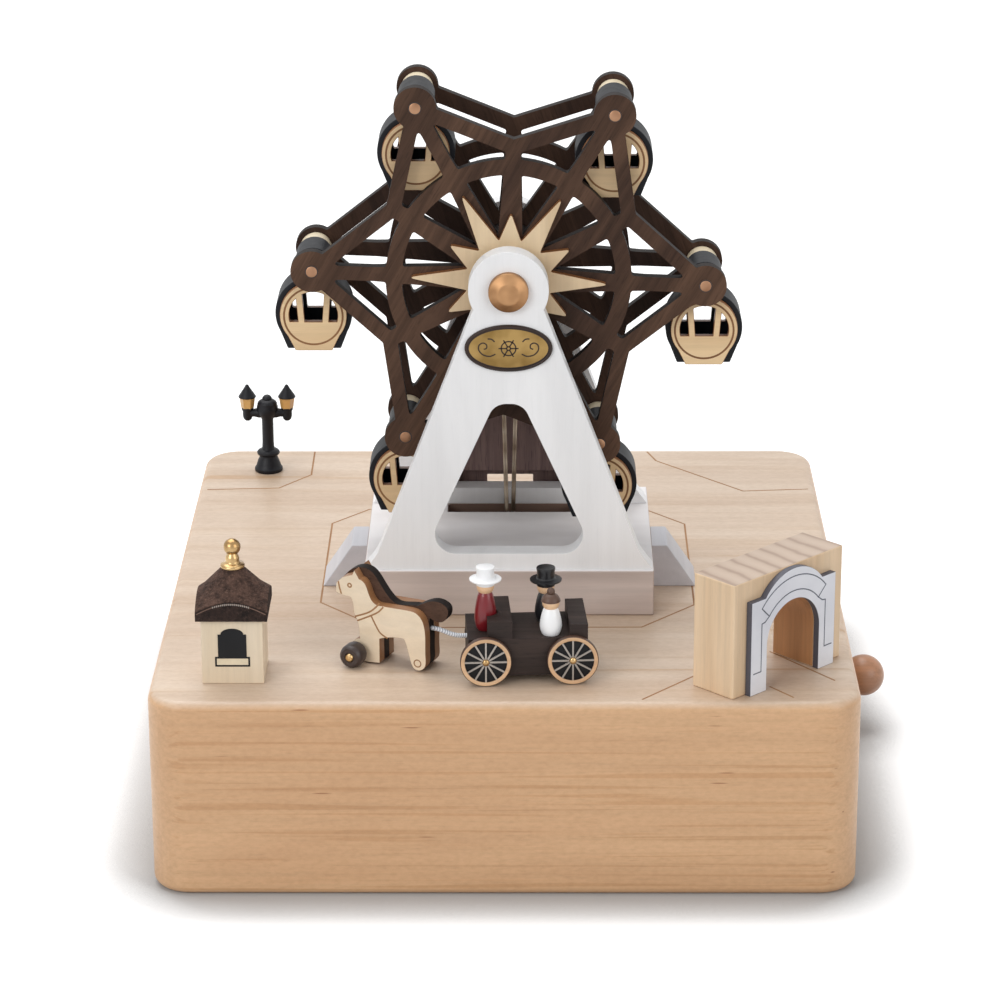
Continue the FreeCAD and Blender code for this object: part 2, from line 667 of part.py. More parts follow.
def make_back_panel():
    """Walnut board behind the rear A-frame; its slotted foot is stepped back."""
    body = new_body("back_panel")
    outline = new_sketch(body, "panel_outline")
    slope = (d.panel_half - d.panel_top_half) / d.panel_top
    waist = d.panel_half - slope * d.panel_step
    add_outline(outline, [(-waist, d.panel_step), (waist, d.panel_step),
                          (d.panel_top_half, d.panel_top), (-d.panel_top_half, d.panel_top)])
    pad(body, "panel_board", outline, d.panel_thick)
    foot = new_sketch(body, "panel_foot_outline")
    add_outline(foot, [(-d.panel_half, 0.0), (d.panel_half, 0.0),
                       (waist, d.panel_step), (-waist, d.panel_step)])
    pad(body, "panel_foot", foot, d.panel_thick - d.panel_step_depth)
    slot = new_sketch(body, "panel_slot_outline")
    half = d.panel_slot_half
    low = d.panel_slot_low
    high = d.panel_slot_high
    add_outline(slot, [(-half, low), (half, low), (half, high), (-half, high)])
    body.Tip = pocket_through(body, "panel_slot", slot)
    place(body, d.tower_shift, rear_frame_back + d.panel_thick, block_top, STAND)


def make_plaque():
    """Bare oval plaque on the front A-frame."""
    centre_z = d.axle_height - d.plaque_drop
    oval = Part.Ellipse(FreeCAD.Vector(), float(d.plaque_long), float(d.plaque_short))
    face = Part.Face(Part.Wire(oval.toShape()))
    made = shape_part("name_plaque", face.extrude(FreeCAD.Vector(0, 0, float(d.plaque_thick))))
    place(made, d.tower_shift, frame_front, centre_z, STAND)


def make_axle_caps():
    """Bevelled brass caps, plugged into the two A-frames' heads over the axle's ends."""
    caps = []
    for name, face, way in (("front", frame_front, -1), ("rear", rear_frame_back, 1)):
        half_turn = FreeCAD.Rotation(RIGHT, -90 * way)
        band = cylinder(f"{name}_cap_band", d.cap_radius, d.cap_band, 0, 0, 0)
        bevel = cone(f"{name}_cap_bevel", d.cap_radius, d.cap_face, d.cap_height - d.cap_band,
                     0, 0, d.cap_band)
        plug = cylinder(f"{name}_cap_plug", d.axle_radius + d.running_gap,
                        d.cap_seat - d.end_gap, 0, 0, d.end_gap - d.cap_seat)
        caps.append(fuse(f"{name}_cap", [band, bevel, plug]))
        place(caps[-1], d.tower_shift, face, d.axle_height, half_turn)
    group("axle_caps", caps)


# ---------------------------------------------------------------- wheel
def arm_angle(index):
    return d.wheel_turn + 360.0 / ARMS * (index - 1)


def make_wheel_plate(name, back):
    """Walnut star-shaped plate: ring, twelve spokes, struts from each tip to the dips."""
    body = new_body(name)
    ring = new_sketch(body, name + "_ring_outline")
    add_circle(ring, 0.0, 0.0, d.ring_outer)
    add_circle(ring, 0.0, 0.0, d.ring_inner)
    pad(body, name + "_ring", ring, d.plate_thick)
    hub = new_sketch(body, name + "_hub_outline")
    add_circle(hub, 0.0, 0.0, d.hub_disc)
    pad(body, name + "_hub", hub, d.plate_thick)

    half = d.spoke_width / 2
    root = d.spoke_root / 2
    tip_angle = d.wheel_turn
    dip_angle = d.wheel_turn + 180.0 / ARMS
    tip_run = [(0.0, root), (d.dip_reach, half), (wheel_reach, half)]
    dip_run = tip_run[:2]
    repeated = []
    for part, angle, run in (("tip_spoke", tip_angle, tip_run), ("dip_spoke", dip_angle, dip_run)):
        sketch = new_sketch(body, f"{name}_{part}_outline")
        left_side = [ray_point(angle, ahead, aside) for ahead, aside in run]
        right_side = [ray_point(angle, ahead, -aside) for ahead, aside in run]
        add_outline(sketch, right_side + left_side[::-1])
        repeated.append(pad(body, f"{name}_{part}", sketch, d.plate_thick))

    tip = ray_point(tip_angle, wheel_reach, 0.0)
    for side, way in ((-1, "right"), (1, "left")):
        dip = ray_point(d.wheel_turn + side * 180.0 / ARMS, d.dip_reach, 0.0)
        run = (dip[0] - tip[0], dip[1] - tip[1])
        span = span_of(run[0], run[1])
        out = (run[1] / span * half, -run[0] / span * half)
        sketch = new_sketch(body, f"{name}_{way}_strut_outline")
        add_outline(sketch, [(tip[0] + out[0], tip[1] + out[1]),
                             (tip[0] - out[0], tip[1] - out[1]),
                             (dip[0] - out[0], dip[1] - out[1]),
                             (dip[0] + out[0], dip[1] + out[1])])
        repeated.append(pad(body, f"{name}_{way}_strut", sketch, d.plate_thick))
    boss = new_sketch(body, name + "_boss_outline")
    add_circle(boss, tip[0], tip[1], d.tip_boss)
    repeated.append(pad(body, name + "_boss", boss, d.plate_thick))
    join = new_sketch(body, name + "_join_outline")
    dip = ray_point(dip_angle, d.dip_reach, 0.0)
    add_circle(join, dip[0], dip[1], half)
    repeated.append(pad(body, name + "_join", join, d.plate_thick))
    pattern(body, name + "_arms", repeated, ARMS)

    pin = new_sketch(body, name + "_pin_outline")
    add_circle(pin, tip[0], tip[1], d.pin_radius)
    pin_hole = pocket_through(body, name + "_pin_hole", pin)
    pattern(body, name + "_pin_holes", [pin_hole], ARMS)
    bore = new_sketch(body, name + "_bore_outline")
    add_circle(bore, 0.0, 0.0, d.axle_radius)
    body.Tip = pocket_through(body, name + "_bore", bore)
    place(body, d.tower_shift, back, d.axle_height, STAND)


def make_star():
    """Maple star of six long and six short rays on the front plate."""
    body = new_body("wheel_star")
    outline = new_sketch(body, "star_outline")
    points = []
    for index in range(ARMS * 4):
        reach = (d.star_long, d.star_valley, d.star_short, d.star_valley)[index % 4]
        angle = d.wheel_turn + index * 360.0 / (ARMS * 4)
        points.append(ray_point(angle, reach, 0.0))
    add_outline(outline, points)
    pad(body, "star_board", outline, d.star_thick)
    bore = new_sketch(body, "star_bore_outline")
    add_circle(bore, 0.0, 0.0, d.axle_radius)
    body.Tip = pocket_through(body, "star_bore", bore)
    place(body, d.tower_shift, -d.plate_front, d.axle_height, STAND)


def tube(name, outer, inner, start, length):
    """A tube on the wheel's axle, from start towards the back."""
    wall = cylinder(name + "_wall", outer, length, d.tower_shift, start, d.axle_height, ALONG_Y)
    hole = cylinder(name + "_hole", inner, length, d.tower_shift, start, d.axle_height, ALONG_Y)
    return cut(name, wall, hole)


def make_wheel_middle():
    """Axle, hub between the plates with its two end washers, and the belt pulley."""
    star_front = -d.plate_front - d.star_thick
    axle_start = frame_front + d.cap_seat
    axle_end = rear_frame_back - d.cap_seat
    cylinder("wheel_axle", d.axle_radius, axle_end - axle_start, d.tower_shift, axle_start,
             d.axle_height, ALONG_Y)
    spool = tube("hub_spool", d.hub_radius, d.axle_radius, plate_back, d.plate_gap)
    washer_start = frame_back + d.washer_gap
    washer = tube("hub_washer", d.washer_radius, d.axle_radius, washer_start,
                  star_front - washer_start)
    group("wheel_hub", [spool, washer])
    pulley_start = d.belt_plane - d.pulley_half
    sleeve = cylinder("pulley_sleeve", d.sleeve_radius, pulley_start - rear_plate_back,
                      0, 0, -(pulley_start - rear_plate_back))
    wheel = pulley_solid("wheel_pulley_rim")
    blank = fuse("wheel_pulley_blank", [sleeve, wheel])
    bore = cylinder("wheel_pulley_bore", d.axle_radius, d.plate_gap * 2, 0, 0, -d.plate_gap)
    pulley = cut("wheel_pulley", blank, bore)
    place(pulley, d.tower_shift, pulley_start, d.axle_height, ALONG_Y)


def pulley_solid(name):
    """A pulley from z 0 up: a flat-bottomed groove between two coned rims."""
    rim = d.pulley_half / 4
    flat = 2.4 * d.belt_radius
    flank = d.pulley_half - rim - flat / 2
    core = cylinder(name + "_core", d.pulley_groove, 2 * d.pulley_half, 0, 0, 0)
    low_rim = cylinder(name + "_low", d.pulley_rim, rim, 0, 0, 0)
    low_cone = cone(name + "_in", d.pulley_rim, d.pulley_groove, flank, 0, 0, rim)
    high_cone = cone(name + "_out", d.pulley_groove, d.pulley_rim, flank, 0, 0,
                     rim + flank + flat)
    high_rim = cylinder(name + "_high", d.pulley_rim, rim, 0, 0, 2 * d.pulley_half - rim)
    return fuse(name, [core, low_rim, low_cone, high_cone, high_rim])


def pin_place(index):
    across, above = ray_point(arm_angle(index), wheel_reach, 0.0)
    return d.tower_shift + across, d.axle_height + above


def make_pins():
    """Six pins through both plates, each with a maple spacer behind its gondola."""
    shell_front = plate_back + d.gondola_inset + d.face_thick
    spacer_start = shell_front + d.gondola_depth + d.end_gap
    pins = []
    spacers = []
    for index in GONDOLAS:
        x, z = pin_place(index)
        length = d.plate_gap + 2 * d.plate_thick + 2 * d.pin_head
        pins.append(cylinder(f"tip_pin_{index}", d.pin_radius, length, x,
                             -d.plate_front - d.pin_head, z, ALONG_Y))
        wall = cylinder(f"spacer_wall_{index}", d.spacer_radius,
                        rear_plate_front - spacer_start, x, spacer_start, z, ALONG_Y)
        hole = cylinder(f"spacer_hole_{index}", d.pin_radius,
                        rear_plate_front - spacer_start, x, spacer_start, z, ALONG_Y)
        spacers.append(cut(f"tip_spacer_{index}", wall, hole))
    group("tip_pins", pins)
    group("tip_spacers", spacers)


# ---------------------------------------------------------------- gondolas
def window_cutter(name, start, length):
    """The three arched openings: a half round with two leaning posts left standing."""
    drum = cylinder(name + "_drum", d.opening_radius, length, 0, start, -d.gondola_drop, ALONG_Y)
    above = box(name + "_above", 2 * d.opening_radius, length,
                d.opening_radius + d.opening_sill, -d.opening_radius, start,
                -d.gondola_drop - d.opening_sill)
    half = common(name + "_half", [drum, above])
    posts = []
    for side, way in ((-1, "left"), (1, "right")):
        post = doc.addObject("Part::Box", f"{name}_{way}_post")
        bind(post, Length=d.post_width, Width=length, Height=3 * d.opening_radius)
        lean = FreeCAD.Rotation(BACK, side * float(d.post_lean))
        place(post, side * d.post_offset - d.post_width / 2, start,
              -d.gondola_drop - 1.5 * d.opening_sill, lean)
        posts.append(post)
    return cut(name, half, fuse(name + "_posts", posts))


# Where the tapered foot leaves the round outline, in radii out and down from its middle.
FOOT_LEAVES_OUT = 0.97
FOOT_LEAVES_DOWN = 0.24


def foot_prism(name, radius, half, start, length):
    """The part of a gondola outline that tapers from its round side to its flat foot."""
    body = new_body(name)
    outline = new_sketch(body, name + "_outline")
    out = radius * FOOT_LEAVES_OUT
    down = -radius * FOOT_LEAVES_DOWN
    add_outline(outline, [(-half, -d.gondola_foot), (half, -d.gondola_foot), (out, down),
                          (-out, down)])
    body.Tip = pad(body, name + "_block", outline, length)
    return place(body, 0, start + length, -d.gondola_drop, STAND)


def make_gondola(index):
    """A gondola hung on its pin: a black shell between two windowed maple faces."""
    name = f"gondola_{index}"
    shell_start = d.face_thick
    depth = d.gondola_depth
    drop = d.gondola_drop
    drum = cylinder(name + "_drum", d.gondola_radius, depth, 0, shell_start, -drop, ALONG_Y)
    foot = foot_prism(name + "_foot", d.gondola_radius, d.gondola_foot_half, shell_start, depth)
    lug = cylinder(name + "_lug", d.lug_radius, depth, 0, shell_start, 0, ALONG_Y)
    blank = fuse(name + "_blank", [drum, foot, lug])
    room = cylinder(name + "_room", d.gondola_radius - d.gondola_wall, depth, 0, shell_start,
                    -drop, ALONG_Y)
    bore = cylinder(name + "_bore", d.pin_radius + d.running_gap, depth * 2, 0, 0, 0, ALONG_Y)
    shell = cut(name + "_shell", blank, fuse(name + "_cuts", [room, bore]))

    faces = []
    for side, start in (("front", 0.0), ("rear", shell_start + depth)):
        label = f"{name}_{side}"
        disc = cylinder(label + "_disc", d.face_radius, d.face_thick, 0, start, -drop, ALONG_Y)
        sole = foot_prism(label + "_sole", d.face_radius, d.face_foot_half, start,
                          d.face_thick)
        lights = window_cutter(label + "_windows", start, d.face_thick)
        relief = cylinder(label + "_relief", d.lug_radius, d.face_thick, 0, start, 0, ALONG_Y)
        faces.append(cut(label + "_face", fuse(label + "_blank", [disc, sole]),
                         fuse(label + "_cuts", [lights, relief])))
    x, z = pin_place(index)
    for part in (shell, group(name + "_faces", faces)):
        place(part, x, plate_back + d.gondola_inset, z)


# ---------------------------------------------------------------- crank and drive
def make_crank():
    """Steel shaft with its worm, crank arm, ball knob, wall bush and inner bracket."""
    y = d.belt_plane
    z = d.shaft_height
    shaft = cylinder("shaft_rod", d.shaft_radius, d.shaft_left + arm_inside, -d.shaft_left,
                     y, z, ALONG_X)
    worm = cylinder("shaft_worm", d.worm_radius, 2 * d.worm_half,
                    -d.music_place - d.worm_half, y, z, ALONG_X)
    fuse("crank_shaft", [shaft, worm])

    body = new_body("arm_blank")
    outline = new_sketch(body, "arm_outline")
    add_outline(outline, [(-d.arm_half, -d.arm_length), (d.arm_half, -d.arm_length),
                          (d.arm_half, 0.0), (-d.arm_half, 0.0)])
    pad(body, "arm_web", outline, d.arm_thick)
    for part, drop in (("boss", 0.0), ("eye", -d.arm_length)):
        sketch = new_sketch(body, f"arm_{part}_outline")
        add_circle(sketch, 0.0, drop, d.arm_half)
        body.Tip = pad(body, f"arm_{part}", sketch, d.arm_thick)
    upright_x = FreeCAD.Rotation(FreeCAD.Vector(1, 1, 1), 120)
    place(body, arm_inside, y, z, upright_x)
    knob_middle = arm_outside + d.knob_gap + d.knob_radius
    pin_reach = d.knob_gap + 2 * d.knob_radius - d.knob_skin
    pin = cylinder("knob_pin", d.knob_pin, pin_reach, arm_outside, y, z - d.arm_length, ALONG_X)
    fuse("crank_arm", [body, pin])

    knob = ball("knob_ball", d.knob_radius, knob_middle, y, z - d.arm_length)
    bore = cylinder("knob_bore", d.knob_pin + d.running_gap, pin_reach + d.running_gap,
                    arm_outside, y, z - d.arm_length, ALONG_X)
    cut("crank_knob", knob, bore)

    inner_wall = d.case_width / 2 - d.case_wall
    wall_end = d.case_width / 2 + d.bush_flange_thick
    sleeve = cylinder("bush_sleeve", d.bush_radius, wall_end - inner_wall, inner_wall, y, z,
                      ALONG_X)
    flange = cylinder("bush_rim", d.bush_flange, d.bush_flange_thick, d.case_width / 2, y, z,
                      ALONG_X)
    bush_bore = cylinder("bush_bore", d.shaft_radius + d.running_gap, d.case_wall * 2,
                         inner_wall, y, z, ALONG_X)
    cut("crank_bushing", fuse("bush_blank", [sleeve, flange]), bush_bore)


def make_crank_pulley():
    wheel = pulley_solid("crank_pulley_rim")
    bore = cylinder("crank_pulley_bore", d.shaft_radius, 4 * d.pulley_half, 0, 0,
                    -d.pulley_half)
    made = cut("crank_pulley", wheel, bore)
    place(made, d.tower_shift - d.pulley_half, d.belt_plane, d.shaft_height, ALONG_X)


def round_cord(route, radius):
    """A round cord along straight and curved stretches that meet end to end."""
    pieces = []
    for stretch in route:
        begin = stretch.valueAt(stretch.FirstParameter)
        along = stretch.tangentAt(stretch.FirstParameter)
        section = Part.Wire(Part.makeCircle(radius, begin, along))
        pieces.append(Part.Wire(stretch).makePipeShell([section], True, False))
    return pieces[0].multiFuse(pieces[1:])


def make_belt():
    """Quarter-twist round belt: half turns on the two pulleys joined by two straight runs."""
    reach = float(d.pulley_groove + d.belt_gap + d.belt_radius)
    x = float(d.tower_shift)
    y = float(d.belt_plane)
    high = float(d.axle_height)
    low = float(d.shaft_height)
    vector = FreeCAD.Vector
    top = (vector(x - reach, y, high), vector(x, y, high + reach), vector(x + reach, y, high))
    bottom = (vector(x, y + reach, low), vector(x, y, low - reach), vector(x, y - reach, low))
    route = [Part.Arc(*top).toShape()]
    route += belt_run(top[2], bottom[0])
    route.append(Part.Arc(*bottom).toShape())
    route += belt_run(bottom[2], top[0])
    shape_part("drive_belt", round_cord(route, float(d.belt_radius)))


def belt_run(start, end):
    """A straight run between two upright tangents, eased into both by shallow arcs."""
    across = FreeCAD.Vector(end.x - start.x, end.y - start.y, 0)
    width = across.Length
    across.normalize()
    height = abs(end.z - start.z)
    travel = FreeCAD.Vector(0, 0, math.copysign(1, end.z - start.z))
    ease = float(d.belt_ease)
    run = math.sqrt(height ** 2 + width ** 2 - 4 * ease * width)
    sweep = math.asin((run * (width - 2 * ease) + 2 * ease * height) / (run ** 2 + 4 * ease ** 2))

    def point(base, way, angle):
        side = across * (way * ease * (1 - math.cos(angle)))
        return base + side + travel * (way * ease * math.sin(angle))
    leave = point(start, 1, sweep)
    arrive = point(end, -1, sweep)
    return [Part.Arc(start, point(start, 1, sweep / 2), leave).toShape(),
            Part.LineSegment(leave, arrive).toShape(),
            Part.Arc(arrive, point(end, -1, sweep / 2), end).toShape()]


def make_bracket():
    """Bearing block on the bottom cover that carries the shaft between movement and pulley."""
    thick = d.bracket_thick
    width = d.bracket_wide
    top = d.shaft_height + d.bracket_cap
    floor = d.cover_thick
    start = -d.music_place + d.music_gear + d.bracket_gap
    blank = box("bracket_blank", thick, width, top - floor, start, d.belt_plane - width / 2,
                floor)
    bore = cylinder("bracket_bore", d.shaft_radius + d.running_gap, thick * 2, start - thick / 2,
                    d.belt_plane, d.shaft_height, ALONG_X)
    cut("shaft_bracket", blank, bore)


def make_turntable():
    """Collar under the case top, and the ring that turns on it and carries the magnets."""
    collar_low = table_low - d.end_gap - d.collar_lip_thick
    collar_tall = ceiling - collar_low
    wall = cylinder("collar_wall", d.collar_outer, collar_tall, d.tower_shift, 0, collar_low)
    lip = cylinder("collar_lip_disc", d.collar_lip, d.collar_lip_thick, d.tower_shift, 0,
                   collar_low)
    bore = cylinder("collar_bore", d.collar_inner, collar_tall, d.tower_shift, 0, collar_low)
    cut("turntable_collar", fuse("collar_blank", [wall, lip]), bore)

    ring = cylinder("table_disc", d.table_outer, d.table_thick, 0, 0, table_low)
    magnet_low = ceiling - d.magnet_gap - d.magnet_height
    rider_low = magnet_low - d.rider_thick
    riders = []
    magnets = []
    for kind, turn in (("horse", d.horse_turn), ("cart", d.cart_turn)):
        angle = 0 - turn
        arm_start = d.table_outer - 2 * d.rider_thick
        arm_end = d.track_radius + d.magnet_radius + d.rider_end
        bar = box(f"{kind}_rider_bar", arm_end - arm_start, d.rider_width, d.rider_thick,
                  arm_start, -d.rider_width / 2, rider_low)
        stalk = box(f"{kind}_rider_stalk", d.table_outer - arm_start, d.rider_width,
                    rider_low - table_low, arm_start, -d.rider_width / 2, table_low)
        rider = fuse(f"{kind}_rider", [bar, stalk])
        place_turned(rider, 0, 0, 0, angle)
        riders.append(rider)
        magnets.append(cylinder(f"{kind}_magnet", d.magnet_radius, d.magnet_height,
                                d.tower_shift + cosine(angle) * d.track_radius,
                                sine(angle) * d.track_radius, magnet_low))
    blank = fuse("table_blank", [ring] + riders)
    hole = cylinder("table_bore", d.collar_outer + d.running_gap, d.case_height, 0, 0, 0)
    table = cut("magnet_turntable", blank, hole)
    place(table, d.tower_shift, 0, 0)
    group("drive_magnets", magnets)


def make_pinion():
    """Pinion on the crank shaft below the turntable ring's face teeth."""
    blank = cylinder("pinion_blank", d.pinion_radius, 2 * d.pinion_half, 0, 0, 0)
    bore = cylinder("pinion_bore", d.shaft_radius, 4 * d.pinion_half, 0, 0, -d.pinion_half)
    pinion = cut("crank_pinion", blank, bore)
    place(pinion, d.tower_shift + d.pinion_place - d.pinion_half, d.belt_plane, d.shaft_height,
          ALONG_X)


def make_movement():
    """Musical movement beside the shaft: bedplate, comb and pinned cylinder with its gear."""
    floor = d.cover_thick
    cylinder_z = d.shaft_height - d.worm_radius - d.mesh_gap - d.music_gear
    x = -d.music_place
    gear_start = d.belt_plane - d.music_gear_half
    gear = cylinder("music_gear_disc", d.music_gear, 2 * d.music_gear_half, x, gear_start,
                    cylinder_z, ALONG_Y)
    drum = cylinder("music_drum", d.music_cylinder, d.music_length, x,
                    gear_start - d.music_length, cylinder_z, ALONG_Y)
    pivot_length = d.music_length + 2 * (d.music_gear_half + 2 * d.end_gap + d.bed_thick)
    pivot_start = gear_start - d.music_length - 2 * d.end_gap - d.bed_thick
    pivot = cylinder("music_pivot", d.music_pivot, pivot_length, x, pivot_start, cylinder_z,
                     ALONG_Y)
    fuse("music_cylinder", [gear, drum, pivot])

    bed_left = x - d.bed_reach
    bed = box("bed_plate", d.bed_reach + d.music_gear, pivot_length, d.bed_thick, bed_left,
              pivot_start, floor)
    cheeks = []
    for part, start in (("front", pivot_start),
                        ("rear", pivot_start + pivot_length - d.bed_thick)):
        cheeks.append(box(f"bed_{part}_cheek", 2 * d.music_cylinder, d.bed_thick,
                          cylinder_z + 2 * d.music_pivot - floor, x - d.music_cylinder, start,
                          floor))
    rest = box("bed_comb_rest", d.rest_width, d.music_length, cylinder_z - floor, bed_left,
               gear_start - d.music_length, floor)
    pivot_hole = cylinder("bed_pivot_hole", d.music_pivot + d.running_gap, pivot_length, x,
                          pivot_start, cylinder_z, ALONG_Y)
    cut("movement_bedplate", fuse("bed_blank", [bed, rest] + cheeks), pivot_hole)
    comb_end = x - d.music_cylinder - d.end_gap
    box("movement_comb", comb_end - bed_left, d.music_length, d.comb_thick, bed_left,
        gear_start - d.music_length, cylinder_z)


# ---------------------------------------------------------------- horse, cart and riders
# Outlines of the horse in fractions of its height: ahead of its middle, above the ground.
# Each stretch is a run of straight edges or one smooth curve through its points.
SIDE_STRETCHES = [
    ("line", [(0.14, 0.00), (0.03, 0.01), (0.03, 0.28)]),
    ("curve", [(0.03, 0.28), (-0.03, 0.30), (-0.17, 0.325), (-0.25, 0.325)]),
    ("curve", [(-0.25, 0.325), (-0.285, 0.24), (-0.325, 0.09), (-0.37, 0.01), (-0.43, 0.00),
               (-0.485, 0.04), (-0.50, 0.17), (-0.50, 0.37), (-0.49, 0.48), (-0.46, 0.57),
               (-0.40, 0.63), (-0.30, 0.65), (-0.18, 0.65), (-0.04, 0.65), (0.04, 0.65)]),
    ("curve", [(0.04, 0.65), (0.155, 0.79), (0.20, 0.88), (0.255, 0.91)]),
    ("line", [(0.255, 0.91), (0.31, 1.00), (0.335, 0.945), (0.44, 0.91), (0.52, 0.835)]),
    ("line", [(0.52, 0.835), (0.53, 0.73), (0.47, 0.705), (0.36, 0.695)]),
    ("curve", [(0.36, 0.695), (0.335, 0.64), (0.31, 0.50), (0.285, 0.45), (0.265, 0.35),
               (0.255, 0.25)]),
    ("curve", [(0.255, 0.25), (0.33, 0.21), (0.36, 0.12), (0.33, 0.03), (0.24, 0.00)]),
    ("line", [(0.24, 0.00), (0.14, 0.00)]),
]
CORE_STRETCHES = [
    ("line", [(0.14, 0.00), (0.03, 0.01), (0.03, 0.28)]),
    ("curve", [(0.03, 0.28), (-0.03, 0.30), (-0.17, 0.325), (-0.25, 0.325)]),
    ("curve", [(-0.25, 0.325), (-0.285, 0.24), (-0.325, 0.09), (-0.37, 0.01), (-0.43, 0.00),
               (-0.485, 0.04), (-0.50, 0.17), (-0.50, 0.37), (-0.49, 0.50), (-0.50, 0.56)]),
    ("curve", [(-0.50, 0.56), (-0.56, 0.53), (-0.64, 0.535), (-0.70, 0.69), (-0.645, 0.735),
               (-0.55, 0.75), (-0.44, 0.715), (-0.36, 0.67)]),
    ("curve", [(-0.36, 0.67), (-0.24, 0.66), (-0.11, 0.66), (-0.01, 0.74), (0.09, 0.88),
               (0.17, 0.97), (0.26, 1.00), (0.38, 0.97), (0.46, 0.90)]),
    ("line", [(0.46, 0.90), (0.52, 0.835), (0.53, 0.73), (0.47, 0.705), (0.36, 0.695)]),
    ("curve", [(0.36, 0.695), (0.335, 0.64), (0.31, 0.50), (0.285, 0.45), (0.265, 0.35),
               (0.255, 0.25)]),
    ("curve", [(0.255, 0.25), (0.33, 0.21), (0.36, 0.12), (0.33, 0.03), (0.24, 0.00)]),
    ("line", [(0.24, 0.00), (0.14, 0.00)]),
]
AXLE_AHEAD = 0.27
HORSE_BACK = -0.50


def layer(stretches, y_start):
    """One layer of the horse: its outline standing along X, thick along Y."""
    tall = float(d.horse_tall)
    edges = []
    for kind, points in stretches:
        places = [FreeCAD.Vector(px * tall, y_start, pz * tall) for px, pz in points]
        if kind == "curve":
            curve = Part.BSplineCurve()
            curve.interpolate(places)
            edges.append(curve.toShape())
        else:
            for start, end in zip(places, places[1:]):
                edges.append(Part.LineSegment(start, end).toShape())
    face = Part.Face(Part.Wire(edges))
    return face.extrude(FreeCAD.Vector(0, float(d.layer_thick), 0))


def rod_along_y(radius, x, z, start, end):
    return Part.makeCylinder(radius, end - start, FreeCAD.Vector(x, start, z), BACK)


def train_place(obj, turn):
    """Sets a piece of the train down on the track; its own +X leads, its +Y faces out."""
    angle = -90.0 - turn
    obj.Placement = FreeCAD.Placement(FreeCAD.Vector(), FreeCAD.Rotation(UP, float(angle)))
    obj.setExpression("Placement.Rotation.Angle", (angle + 360.0).text)
    for axis, value in (("x", d.tower_shift + cosine(0 - turn) * d.track_radius),
                        ("y", sine(0 - turn) * d.track_radius), ("z", deck + d.track_gap)):
        obj.setExpression(f"Placement.Base.{axis}", value.text)
    return obj


def make_horse():
    """Three-layer horse: two maple sides, a walnut core with mane and tail, front wheels."""
    tall = float(d.horse_tall)
    thick = float(d.layer_thick)
    lift = 3 * float(d.track_gap)
    axle_x = AXLE_AHEAD * tall
    axle_z = float(d.horse_wheel)
    bore = rod_along_y(float(d.wheel_pin + d.running_gap), axle_x, axle_z, -3 * thick, 3 * thick)
    seat = float(d.link_seat)
    link_hole = Part.makeCylinder(float(d.link_radius), 2 * seat,
                                  FreeCAD.Vector(HORSE_BACK * tall - seat, 0,
                                                 float(d.link_height)), RIGHT)
    near = layer(SIDE_STRETCHES, thick / 2)
    far = layer(SIDE_STRETCHES, -1.5 * thick)
    raise_by = FreeCAD.Vector(0, 0, lift)
    sides = []
    for side in (near, far):
        side.translate(raise_by)
        sides.append(side.cut(bore))
    core = layer(CORE_STRETCHES, -thick / 2)
    core.translate(raise_by)
    core = core.cut(bore).cut(link_hole)
    train_place(shape_part("horse_sides", Part.makeCompound(sides)), d.horse_turn)
    train_place(shape_part("horse_core", core), d.horse_turn)

    inner = float(d.horse_wheel_in)
    outer = inner + float(d.horse_wheel_thick)
    pin_radius = float(d.wheel_pin)
    pin_end = outer + float(d.wheel_pin_end)
    pin = rod_along_y(pin_radius, axle_x, axle_z, -pin_end, pin_end)
    solids = [pin]
    for start, end in ((inner, outer), (-outer, -inner)):
        rim = rod_along_y(float(d.horse_wheel), axle_x, axle_z, start, end)
        solids.append(rim.cut(rod_along_y(pin_radius, axle_x, axle_z, start, end)))
    train_place(shape_part("horse_wheels", Part.makeCompound(solids)), d.horse_turn)


